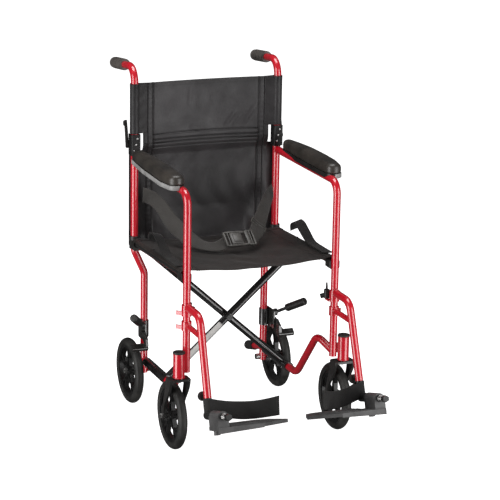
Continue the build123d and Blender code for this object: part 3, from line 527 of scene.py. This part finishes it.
def wrinkle(x, z, start, end, depth, width):
    """Height of one wrinkle, fading out at both ends."""
    ax, az = start
    dx, dz = end[0] - ax, end[1] - az
    t = ((x - ax) * dx + (z - az) * dz) / (dx * dx + dz * dz)
    if not -0.15 < t < 1.15:
        return 0.0
    off = abs((x - ax) * dz - (z - az) * dx) / math.hypot(dx, dz)
    fade = smooth_step(t, -0.15, 0.25) * (1 - smooth_step(t, 0.6, 1.15))
    return depth * fade * math.exp(-(off / width) ** 2)


def groove(distance, depth, width):
    """Depth of a sewn line at that distance from it."""
    return depth * math.exp(-(distance / width) ** 2)


def back_relief(x, z):
    """How far the fabric stands forward of its plain surface, in metres."""
    h = 0.0
    for each in WRINKLES:
        h += wrinkle(x, z, *each)
    middle = 1 - smooth_step(abs(x), 0.165, 0.172)
    for line in CHANNELS:
        h -= groove(off_channel(x, z, line), 0.0034, 0.0026) * middle
    if CHANNELS[-1] < z < CHANNELS[0]:
        h += 0.0012 * middle
    for seam in SEAMS:
        h -= groove(abs(x) - seam, 0.0030, 0.0022)
    pucker = math.sin(z * 420 + 3 * math.sin(x * 60)) * 0.0003
    h += pucker * math.exp(-((abs(x) - 0.178) / 0.012) ** 2)
    h += 0.0007 * math.sin(x * 95 + 4 * math.sin(z * 21)) * middle * (z < CHANNELS[-1])
    return h


def back_painted_shade(x, y, z):
    """Painted shade on the cloth: in the sewn channels, the double seams and the top hem's
    stitching, and darker towards the top hem and the side edges.
    """
    d = 0.0
    if abs(x) < 0.170:
        for line in CHANNELS:
            d += groove(off_channel(x, z, line), 0.85, 0.0016)
    for seam in SEAMS:
        d += groove(abs(x) - seam, 0.85, 0.0014)
    d += groove(z - 0.970, 0.35, 0.0008)
    # painted shade, darker towards the top hem and towards the sides, less so high on the upper
    # panel
    d += 0.45 * smooth_step(z, 0.945, BACK_TOP)
    d += 0.40 * smooth_step(abs(x), 0.13, SEAM_X) * (1 - 0.6 * smooth_step(z, HINGE_Z, 0.85))
    return d


def side_painted_shade(x, y, z):
    """Painted shade on the side strips: darker all over than the middle, most of all at the top
    hem.
    """
    return 0.40 + 0.30 * smooth_step(z, 0.945, BACK_TOP)


def back_y(x, z):
    """Where the middle of the back lies: on the hinge line at the hinges, bowed elsewhere."""
    if z >= HINGE_Z:
        bow = 0.002 + 0.008 * smooth_step(z, HINGE_Z, 0.87)
        edge = REAR_Y + 0.001 + 0.0015 * smooth_step(z, HINGE_Z, 0.85)
    else:
        bow = 0.002 + 0.007 * smooth_step(HINGE_Z - z, 0.0, 0.08)
        edge = REAR_Y + 0.001 + 0.0145 * smooth_step(HINGE_Z - z, 0.0, 0.040)
        # tucked forward to the seat between the posts
        edge -= 0.030 * smooth_step(0.60 - z, 0.0, 0.10) * (1 - smooth_step(abs(x), 0.12, SEAM_X))
    return edge + bow * (1 - (x / SEAM_X) ** 2)


def back_middle(name, low, high, rows, body, node):
    """The middle column of the back, one piece above the hinges and one below."""
    def place(u, v):
        x = -SEAM_X + 2 * SEAM_X * u
        z = low + (high - low) * v
        return x, back_y(x, z) - back_relief(x, z), z

    # the cloth is darkened with painted shade
    made = grid(name, 190, rows, place, (2 * SEAM_X, high - low), NYLON_BACK, 0.0022,
                dark=back_painted_shade)
    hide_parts(node)
    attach(made, body)
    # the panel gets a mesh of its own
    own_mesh(made)


def sleeve(side, s):
    """Upper side strip: sewn round the handle tube, with the tab beside the hinge."""
    low, high = SLEEVE_FOOT, BACK_TOP
    radius = TUBE_R + 0.0022
    flat_share = 0.22           # of the strip's width, from the seam to the tube
    layer = 0.0012              # half the distance between its two layers at the seam

    def place(u, v):
        z = low + (high - low) * v
        # round the tube from the seam's front layer to its rear layer
        turn = math.radians(35 + 290 * smooth_step(u, flat_share, 1 - flat_share))
        x = POST_X - radius * math.cos(turn)
        y = REAR_Y - radius * math.sin(turn)
        t = min(u, 1 - u) / flat_share
        if t < 1:
            sewn_y = back_y(SEAM_X, z) + (layer if u > 0.5 else -layer)
            x = SEAM_X + (x - SEAM_X) * t
            y = sewn_y + (y - sewn_y) * t
        crease = 0.0006 * math.sin(z * 180 + u * 9) * math.sin(math.pi * min(1, u * 2))
        hem = 0.0007 * (smooth_step(z, high - 0.012, high - 0.009)
                        + 1 - smooth_step(z, low + 0.009, low + 0.012))
        return s * x, y + (crease - hem) * (1 if u < 0.5 else -1), z

    # darkened all over with painted shade
    made = grid(f"{side}_back_sleeve", 72, 60, place, (0.125, high - low), NYLON_BACK, 0.0016,
                dark=side_painted_shade)
    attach(made, f"{side}_upper_back")

    def tab(u, v):
        x = SEAM_X - 0.001 + 0.014 * u
        z = HINGE_Z + (low + 0.002 - HINGE_Z) * v
        return s * x, back_y(SEAM_X, z) - 0.0006 * math.sin(u * 3), z

    # darkened all over with painted shade
    strip = grid(f"{side}_back_tab", 8, 14, tab, (0.014, 0.04), NYLON_BACK, 0.0022,
                 dark=side_painted_shade)
    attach(strip, f"{side}_upper_back")


def lower_strip(side, s):
    """Lower side strip, behind the rear post and cut back beside the hinge."""
    low, high = BACK_FOOT, HINGE_Z

    def place(u, v):
        z = low + (high - low) * v
        reach = 0.200 + 0.039 * (1 - smooth_step(z, 0.772, 0.780))
        x = SEAM_X + (reach - SEAM_X) * u
        edge = back_y(SEAM_X, z)
        y = edge + (REAR_Y + 0.0165 - edge) * smooth_step(x, 0.200, 0.209)
        y += 0.0008 * math.sin(z * 55 + u * 5) * math.sin(math.pi * u)
        return s * x, y, z

    # darkened all over with painted shade
    made = grid(f"{side}_back_strip", 30, 130, place, (0.052, high - low), NYLON_BACK, 0.0022,
                dark=side_painted_shade)
    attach(made, f"{side}_frame")


# ---- seat ----
RAIL_BODIES = ("brace_rear", "brace_front")     # body of the right and the left seat rail
STITCH_X = (0.190, 0.184)       # the double seam along each seat rail
HEM = 0.025                     # width of the seat's front and rear hems


def seat_axis_z(y):
    """Height of the seat rails' centre line, which falls 18 mm to the rear posts."""
    return 0.520 - 0.018 * (y - FRONT_Y) / (REAR_Y - FRONT_Y)


def seat():
    """Seat sling: over both rails, sagging between them, with hems and stitch lines."""
    start, end = -0.127, 0.2975     # y of the front and rear edges
    wrap = TUBE_R + 0.0016
    half = POST_X + wrap * math.radians(62)

    def place(u, v):
        y = start + (end - start) * v
        s = (2 * u - 1) * half
        side = 1 if s >= 0 else -1
        run = abs(s)
        hem = 0.0011 * (1 - smooth_step(y, start + HEM - 0.001, start + HEM + 0.002))
        hem += 0.0011 * smooth_step(y, end - HEM - 0.002, end - HEM + 0.001)
        if run <= POST_X:
            x = run
            flat = 1 - (x / POST_X) ** 2
            sag = (0.013 + 0.004 * math.sin(math.pi * v)) * flat
            z = seat_axis_z(y) + wrap - sag
            z += 0.0009 * math.sin(x * 40 * side + 5 * math.sin(y * 13)) * flat
            z += 0.0006 * math.sin(y * 60 + 6 * math.sin(x * 17 * side)) * flat
            z -= groove(x - STITCH_X[0], 0.0012, 0.0016) + groove(x - STITCH_X[1], 0.0010, 0.0014)
            z += hem - groove(y - start - HEM, 0.0014, 0.0015)
        else:
            turn = (run - POST_X) / wrap
            x = POST_X + (wrap + hem) * math.sin(turn)
            z = seat_axis_z(y) + (wrap + hem) * math.cos(turn)
        return side * x, y, z

    # painted shade in the stitch lines and the hem grooves
    def dark(x, y, z):
        return (groove(abs(x) - STITCH_X[0], 0.7, 0.0010)
                + groove(abs(x) - STITCH_X[1], 0.6, 0.0010)
                + groove(y - start - HEM, 0.7, 0.0011) + groove(y - end + HEM, 0.7, 0.0011))

    made = grid("seat_cover", 220, 160, place, (2 * half, end - start), NYLON_SEAT, 0.0022,
                dark=dark)
    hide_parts("seat_sling")
    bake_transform(made)
    # screws that hold the cover to the rails
    for (side, s), body in zip(SIDES, RAIL_BODIES):
        for k in range(4):
            y = -0.095 + 0.118 * k
            mesh = bmesh.new()
            top = seat_axis_z(y) + wrap + 0.0012
            bmesh.ops.create_uvsphere(mesh, u_segments=20, v_segments=10, radius=0.0048,
                                      matrix=Matrix.Translation((s * POST_X, y, top))
                                      @ Matrix.Diagonal((1, 1, 0.45, 1)))
            screw = finish_mesh(f"{side}_seat_screw_{k}", mesh, DARK_STEEL)
            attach(screw, body)


# ---- seat belt ----
def belt():
    """Both straps and the two free tails that lie on the seat rails."""
    width, tail_width = 0.046, 0.030
    # the straps' centres and the directions of their widths, from the posts to the buckle
    near = (
        ((-0.208, 0.292, 0.651), (0.02, -0.1, 1.0)),
        ((-0.190, 0.286, 0.645), (0.05, -0.15, 1.0)),
        ((-0.165, 0.268, 0.625), (0.35, -0.25, 0.95)),
        ((-0.140, 0.228, 0.578), (0.62, -0.10, 0.75)),
        ((-0.110, 0.168, 0.543), (0.60, 0.35, 0.55)),
        ((-0.078, 0.118, 0.529), (0.35, 0.85, 0.35)),
        ((-0.045, 0.096, 0.5285), (0.05, 1.0, 0.38)),
        ((-0.018, 0.090, 0.541), (0.0, 1.0, 0.62)),
    )
    far = (
        ((0.207, 0.288, 0.634), (-0.25, -0.25, 1.0)),
        ((0.188, 0.270, 0.622), (-0.55, -0.20, 0.9)),
        ((0.150, 0.215, 0.598), (-0.75, -0.10, 0.75)),
        ((0.110, 0.155, 0.572), (-0.75, 0.15, 0.60)),
        ((0.086, 0.118, 0.556), (-0.55, 0.60, 0.55)),
        ((0.056, 0.094, 0.546), (-0.10, 1.0, 0.62)),
    )
    for name, stations in (("belt_near", near), ("belt_far", far)):
        made, length = ribbon(name, stations, width, 0.0016, WEBBING, 70, cup=0.0012)
        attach(made, "right_frame")
        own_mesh(made)
        if name == "belt_near":
            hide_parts("seat_belt")
    for (side, s), body in zip(SIDES, RAIL_BODIES):
        tail = (
            ((s * 0.224, 0.150, 0.546), (1, 0, s * 0.3)),
            ((s * 0.224, 0.152, 0.562), (1, 0, s * 0.3)),
            ((s * 0.224, 0.138, 0.573), (1, 0, s * 0.3)),
            ((s * 0.224, 0.108, 0.572), (1, 0, s * 0.3)),
            ((s * 0.224, 0.072, 0.556), (1, 0, s * 0.2)),
            ((s * 0.225, 0.030, 0.5375), (1, 0.1, 0)),
            ((s * 0.226, -0.030, 0.5345), (1, 0, 0)),
            ((s * 0.227, -0.088, 0.5345), (1, 0, 0)),
        )
        made, length = ribbon(f"{side}_belt_tail", tail, tail_width, 0.0030, LOOP_WEB, 60)
        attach(made, body)


def buckle():
    """Side-release buckle, leaning back on the belt, and the slide on the far strap."""
    tilt = (Matrix.Translation((0.018, 0.088, 0.549)) @ Matrix.Rotation(math.radians(34), 4, "X")
            @ Matrix.Scale(1.08, 4))
    mesh = bmesh.new()

    def part(x, y, z, size, bevel=0.0015):
        box_shape(mesh, size, tilt @ Matrix.Translation((x, y, z)), bevel)

    # the socket, the press plate on it, and its side bars with the plug's prongs
    part(-0.006, 0, 0.0005, (0.034, 0.040, 0.009), 0.003)
    part(-0.004, 0, 0.0055, (0.024, 0.026, 0.0025), 0.001)
    for y in (-0.0235, 0.0235):
        part(-0.010, y, 0, (0.050, 0.0055, 0.008), 0.002)
        part(0.016, y * 0.93, 0, (0.018, 0.006, 0.007), 0.002)
    # strap bars of the socket, body of the plug, and its strap bars
    part(-0.037, 0, 0, (0.006, 0.050, 0.008), 0.002)
    part(-0.027, 0, 0.001, (0.004, 0.046, 0.005), 0.0012)
    part(0.027, 0, 0, (0.012, 0.050, 0.009), 0.0025)
    part(0.044, 0, 0, (0.006, 0.052, 0.008), 0.002)
    part(0.036, 0, 0.0012, (0.004, 0.046, 0.004), 0.001)
    for y in (-0.0245, 0.0245):
        part(0.036, y, 0, (0.020, 0.0045, 0.008), 0.0015)
    made = finish_mesh("belt_buckle_detail", mesh, BUCKLE)
    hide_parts("belt_buckle")
    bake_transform(made)
    # the slide: three bars across the strap and two along its edges
    mesh = bmesh.new()
    axis = Vector((-0.72, 0.20, 0.62)).normalized()
    out = axis.cross(Vector((0.55, 0.75, 0.36))).normalized()
    turn = Matrix((axis, out.cross(axis), out)).transposed().to_4x4()
    place = Matrix.Translation((0.106, 0.149, 0.5695)) @ turn
    for y in (-0.0095, 0, 0.0095):
        box_shape(mesh, (0.052, 0.0032, 0.0034), place @ Matrix.Translation((0, y, 0)), 0.0008)
    for x in (-0.026, 0.026):
        box_shape(mesh, (0.0035, 0.0225, 0.0036), place @ Matrix.Translation((x, 0, 0)), 0.0008)
    slide = finish_mesh("belt_slide", mesh, BUCKLE)
    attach(slide, "right_frame")
    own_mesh(slide)


# ---- armrest cushions ----
PAD_REAR, PAD_FRONT = 0.246, -0.080     # centres of the rear and front roundings
PAD_FOOT = 0.7716                       # height of the cushion's lower edge
# the outline goes round these circles: x outward from the post, y, radius
PAD_CIRCLES = ((0.012, PAD_REAR, 0.018), (0.014, 0.130, 0.026), (0.015, -0.036, 0.029),
               (0.013, PAD_FRONT, 0.024))
# the cushion's side and crown: share of the outline and height above the lower edge
PAD_PROFILE = (
    (0.88, 0.0), (0.925, 0.0003), (0.955, 0.002), (0.975, 0.006), (0.975, 0.011),
    (0.955, 0.0160), (0.915, 0.0198), (0.85, 0.0228), (0.76, 0.0252),
    (0.65, 0.0270), (0.52, 0.0283), (0.36, 0.0292), (0.18, 0.0297), (0.0, 0.0298),
)


def pad_outline():
    """The outline as (centre x, centre y, radius, direction x, direction y) in order."""
    raw = []
    count = 220
    for k in range(count):
        a = 2 * math.pi * k / count
        dx, dy = math.cos(a), math.sin(a)
        x, y, r = max(PAD_CIRCLES, key=lambda c: c[0] * dx + c[1] * dy + c[2])
        raw.append((x, y, r, dx, dy))
    made = []
    for first, second in zip(raw, raw[1:] + raw[:1]):
        gap = math.hypot(first[0] - second[0], first[1] - second[1])
        steps = max(1, int(gap / 0.006))
        for i in range(steps):
            t = i / steps
            made.append(tuple(a + (b - a) * t for a, b in zip(first, second)))
    return made


def loft(rows, columns, closed, mirrored):
    """Faces and UVs of rows of points, joined to a band or, if closed, to a ring."""
    uvs = [(i * 0.006, k * 0.004) for k in range(rows) for i in range(columns)]
    faces = []
    for k in range(rows - 1):
        for i in range(columns if closed else columns - 1):
            j = (i + 1) % columns
            low, high = k * columns, (k + 1) * columns
            face = (low + i, low + j, high + j, high + i)
            faces.append(face[::-1] if mirrored else face)
    return faces, uvs


def arm_pad(side, s):
    """Foam armrest: crowned, highest in the middle, tucked in above its tray."""
    outline = pad_outline()
    points = []
    for share, up in PAD_PROFILE:
        for x, y, r, dx, dy in outline:
            along = (PAD_REAR - y) / (PAD_REAR - PAD_FRONT)
            rise = 0.80 + 0.30 * math.sin(math.pi * (0.12 + 0.72 * along))
            lift = up * rise if up > 0.003 else up
            wave = 1 + 0.012 * math.sin(y * 70) * (up > 0.005)
            points.append((s * (POST_X + x + dx * r * share * wave), y + dy * r * share,
                           PAD_FOOT + lift))
    faces, uvs = loft(len(PAD_PROFILE), len(outline), True, s < 0)
    base = tuple(range(len(outline)))
    faces.append(base[::-1] if s > 0 else base)
    made = link_mesh(f"{side}_arm_cushion", points, faces, uvs, VINYL)
    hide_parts(f"{side}_arm_pad")
    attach(made, f"{side}_frame")
    # grey edge strip on the tray's outer side and front, with fine upright ribs; its light grey
    # is a painted reflection on the tray's dark glossy edge
    strip = [p for p in outline if p[3] > -0.15 and (p[3] > 0.75 or p[1] < 0.0)]
    strip.sort(key=lambda p: math.atan2(p[4], p[3] + 1.2))
    # heights, and how far the strip stands out there
    rows = ((0.7575, 0.0), (0.7582, 0.0008), (0.7700, 0.0008), (0.7707, 0.0))
    points = []
    for height, out in rows:
        for i, (x, y, r, dx, dy) in enumerate(strip):
            grow = r + 0.0002 + out + 0.0003 * (i % 2) * (out > 0)
            points.append((s * (POST_X + x + dx * grow), y + dy * grow, height))
    faces, uvs = loft(len(rows), len(strip), False, s < 0)
    edge = link_mesh(f"{side}_tray_edge_painted_reflection", points, faces, uvs, TRAY_EDGE_PAINTED_REFLECTION)
    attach(edge, f"{side}_frame")


# ---- heel loops ----
def heel_loop(side, s):
    """Webbing band round the footrest tube, doubled and folded at its free end."""
    end = Vector((s * 0.230, -0.325, 0.219))
    down = Vector((s * 0.0133, -0.3375, -0.9413)).normalized()
    start = end + down * 0.024
    tip = Vector((s * 0.066, -0.444, 0.219))
    run = tip - start
    flat_run = (run - down * run.dot(down)).normalized()
    side_way = down.cross(flat_run).normalized()
    length = run.length
    tube = TUBE_R + 0.0018      # the band's radius round the tube
    layer = 0.0022              # half the distance between its two layers
    fold = 0.004                # length of the rounded fold at the free end

    def place(u, v):
        # once round: out along the front layer, back along the rear layer
        a = 2 * math.pi * u
        along = (1 - math.cos(a)) / 2
        spread = math.sin(a)
        reach = -tube + (length + tube) * along
        near_tube = 1 - smooth_step(reach, -tube, 0.055)
        gap = layer + (tube - layer) * near_tube
        if reach < tube * 0.6:
            gap = math.sqrt(max(tube ** 2 - min(reach, 0) ** 2, 1e-9))
            offset = math.copysign(gap, spread) if abs(spread) > 1e-6 else 0.0
        else:
            full = min(1.0, max(0.0, length - reach) / fold) ** 0.5
            offset = math.copysign(gap * full, spread)
        t = max(0.0, reach / length)
        sag = 0.016 * math.sin(math.pi * min(1, t)) * (1 if spread > 0 else 0.9)
        half = 0.0235 + 0.004 * smooth_step(t, 0.0, 0.5)
        drop = run.dot(down) * t
        height = (v - 0.5) * 2 * half
        bow = 0.010 * math.sin(math.pi * min(1, t))
        centre = start + flat_run * reach + down * drop
        wide = (-down).lerp(Vector((0, 0.12, 1)), smooth_step(t, 0.1, 0.9)).normalized()
        wave = 0.0012 * math.sin(t * 19 + v * 3)
        return (centre + wide * (height - sag * (0.6 + 0.4 * v))
                + side_way * (offset + bow * s + wave))

    made = grid(f"{side}_heel_band", 120, 16, place, (2 * length, 0.052), LOOP_WEB,
                0.0016, wrap=True)
    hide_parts(f"{side}_heel_loop")
    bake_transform(made)


# ---- hard details ----
def plate_details(side, s):
    """Tread ribs on the footplate and the coil of its pivot spring."""
    tilt = math.radians(16.5)
    ahead = Vector((0, -math.cos(tilt), math.sin(tilt)))
    up = Vector((0, math.sin(tilt), math.cos(tilt)))
    front = Vector((s * 0.233, -0.497, 0.221))
    origin = front - ahead * 0.170 - up * 0.029
    turn = Matrix((Vector((1, 0, 0)), -ahead, up)).transposed().to_4x4()
    place = Matrix.Translation(origin) @ turn
    mesh = bmesh.new()
    for k in range(9):
        y = -0.113 + 0.0105 * k
        reach = 0.166 - max(0.0, -0.082 - y) * 1.35
        length = reach - 0.026
        x = -s * (0.026 + length / 2)
        box_shape(mesh, (length, 0.0032, 0.0016), place @ Matrix.Translation((x, y, 0.0004)),
                  0.0006, 2)
    made = finish_mesh(f"{side}_plate_tread", mesh, PLATE)
    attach(made, f"{side}_footplate")
    turns, steps = 6, 16
    coil = []
    for k in range(turns * steps + 1):
        a = 2 * math.pi * k / steps
        along = -0.0385 + 0.024 * k / (turns * steps)
        out = Vector((1, 0, 0)) * math.cos(a) + up * math.sin(a)
        coil.append(front + ahead * along + out * 0.0088)
    spring = tube_mesh(f"{side}_plate_spring", coil, 0.0012, STEEL, 8)
    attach(spring, f"{side}_extension")


def welds(side, s):
    """Weld beads where the tubes of the side frame meet."""
    beads = (
        ("arm", (s * POST_X, REAR_Y - TUBE_R - 0.0006, 0.757), (0, 1, 0), 0.0110, "frame"),
        ("strut", (s * POST_X, FRONT_Y - 0.0150, 0.377), (0, 1, 0), 0.0081, "hanger"),
        ("hook", (s * POST_X, FRONT_Y - 0.0150, 0.431), (0, 1, 0), 0.0111, "hanger"),
        ("housing", (s * 0.254, -0.157, 0.2985), (0, 0, 1), 0.0165, "frame"),
        ("housing_foot", (s * 0.254, -0.157, 0.2295), (0, 0, 1), 0.0165, "frame"),
    )
    for name, centre, axis, radius, body in beads:
        made = bead(f"{side}_{name}_bead", centre, axis, radius, 0.0013, RED)
        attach(made, f"{side}_{body}")


def hinge_details(side, s):
    """Three rivets and two pressed ribs on the front of each hinge channel."""
    front = REAR_Y - TUBE_R - 0.0034
    for k, (x, z) in enumerate(((0.0045, 0.820), (-0.0045, 0.784), (0.0, 0.802))):
        mesh = bmesh.new()
        bmesh.ops.create_uvsphere(mesh, u_segments=18, v_segments=9, radius=0.0030,
                                  matrix=Matrix.Translation((s * POST_X + x, front, z))
                                  @ Matrix.Diagonal((1, 0.4, 1, 1)))
        rivet = finish_mesh(f"{side}_hinge_rivet_{k}", mesh, STEEL)
        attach(rivet, f"{side}_frame")
    mesh = bmesh.new()
    for x in (-0.0115, 0.0115):
        box_shape(mesh, (0.0026, 0.0020, 0.058),
                  Matrix.Translation((s * POST_X + x, front - 0.0002, 0.801)), 0.0007)
    ribs = finish_mesh(f"{side}_hinge_ribs", mesh, DARK_STEEL)
    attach(ribs, f"{side}_frame")


def label():
    """Two blank pale labels, one above the other, wrapped round the front brace tube."""
    foot = Vector((-0.195, 0.118, 0.130))
    top = Vector((0.227, 0.118, 0.511))
    along = (top - foot).normalized()
    front = Vector((0, -1, 0))
    up = front.cross(along).normalized()
    # each label's lower and upper end along the tube
    for k, (low, high) in enumerate(((0.095, 0.150), (0.156, 0.232))):
        def place(u, v):
            a = math.radians(-32 + 92 * u)
            out = front * math.cos(a) + up * math.sin(a)
            return foot + along * (low + (high - low) * v) + out * (TUBE_R + 0.0004)

        made = grid(f"brace_label_{k}", 16, 24, place, (0.018, high - low), LABEL, 0.0003)
        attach(made, "brace_front")


# ---- light and floor ----
def softbox(name, place, aim, size, power):
    """A rectangular light: width and height in metres, power in watts."""
    lamp = bpy.data.lights.new(name, "AREA")
    lamp.shape = "RECTANGLE"
    lamp.size, lamp.size_y = size
    lamp.energy = power
    made = bpy.data.objects.new(name, lamp)
    made.location = place
    made.rotation_mode = "QUATERNION"
    made.rotation_quaternion = (Vector(aim) - Vector(place)).to_track_quat("-Z", "Y")
    bpy.context.collection.objects.link(made)


def studio():
    """Pale floor, white room and three soft boxes."""
    mesh = bmesh.new()
    bmesh.ops.create_grid(mesh, x_segments=1, y_segments=1, size=12)
    s = Shader("floor_white", (0.95, 0.95, 0.95), 0.9, specular=0.1)
    s.bump(s.noise(40, 2), 0.0001, 0.1)
    s.main.inputs["Emission Color"].default_value = (1, 1, 1, 1)
    s.main.inputs["Emission Strength"].default_value = 1.0
    floor = finish_mesh("floor", mesh, s.material)
    floor.location.z = -0.0005
    # the white floor doesn't wash out the dark parts above it
    floor.visible_glossy = False
    floor.visible_diffuse = False
    floor.visible_shadow = False
    # the backdrop is white to the camera and dimmer as a light, so that dark parts stay dark
    world = bpy.data.worlds.new("room")
    world.use_nodes = True
    tree = world.node_tree
    lit = tree.nodes["Background"]
    lit.inputs["Color"].default_value = (1, 1, 1, 1)
    # mirrored in gloss the room is darker still, which keeps the tube edges deep
    room, room_in_gloss = 0.24, 0.05
    dim = tree.nodes.new("ShaderNodeMath")
    dim.operation = "MULTIPLY_ADD"
    dim.inputs[1].default_value = room_in_gloss - room
    dim.inputs[2].default_value = room
    seen = tree.nodes.new("ShaderNodeBackground")
    seen.inputs["Strength"].default_value = 1.0
    seen.inputs["Color"].default_value = (1, 1, 1, 1)
    path = tree.nodes.new("ShaderNodeLightPath")
    tree.links.new(path.outputs["Is Glossy Ray"], dim.inputs[0])
    tree.links.new(dim.outputs["Value"], lit.inputs["Strength"])
    mix = tree.nodes.new("ShaderNodeMixShader")
    tree.links.new(path.outputs["Is Camera Ray"], mix.inputs["Fac"])
    tree.links.new(lit.outputs["Background"], mix.inputs[1])
    tree.links.new(seen.outputs["Background"], mix.inputs[2])
    tree.links.new(mix.outputs["Shader"], tree.nodes["World Output"].inputs["Surface"])
    bpy.context.scene.world = world
    # two tall boxes put a bright line down each side of the tubes
    tall = (1.6, 3.4)
    softbox("left_strip", (-2.52, -0.63, 0.55), (0, 0, 0.50), tall, 68)
    softbox("right_strip", (1.38, -2.20, 0.55), (0, 0, 0.50), tall, 56)
    softbox("top", (0.0, 0.2, 3.0), (0, 0, 0.6), (1.6, 1.2), 30)
    bpy.context.scene.view_settings.view_transform = "Standard"


place_camera()
studio()
paint_nodes()
back_middle("back_upper", HINGE_Z, BACK_TOP, 120, "right_upper_back", "upper_back_sling")
back_middle("back_lower", BACK_FOOT, HINGE_Z, 170, "right_frame", "lower_back_sling")
seat()
belt()
buckle()
label()
for side, s in SIDES:
    sleeve(side, s)
    lower_strip(side, s)
    arm_pad(side, s)
    heel_loop(side, s)
    plate_details(side, s)
    welds(side, s)
    hinge_details(side, s)
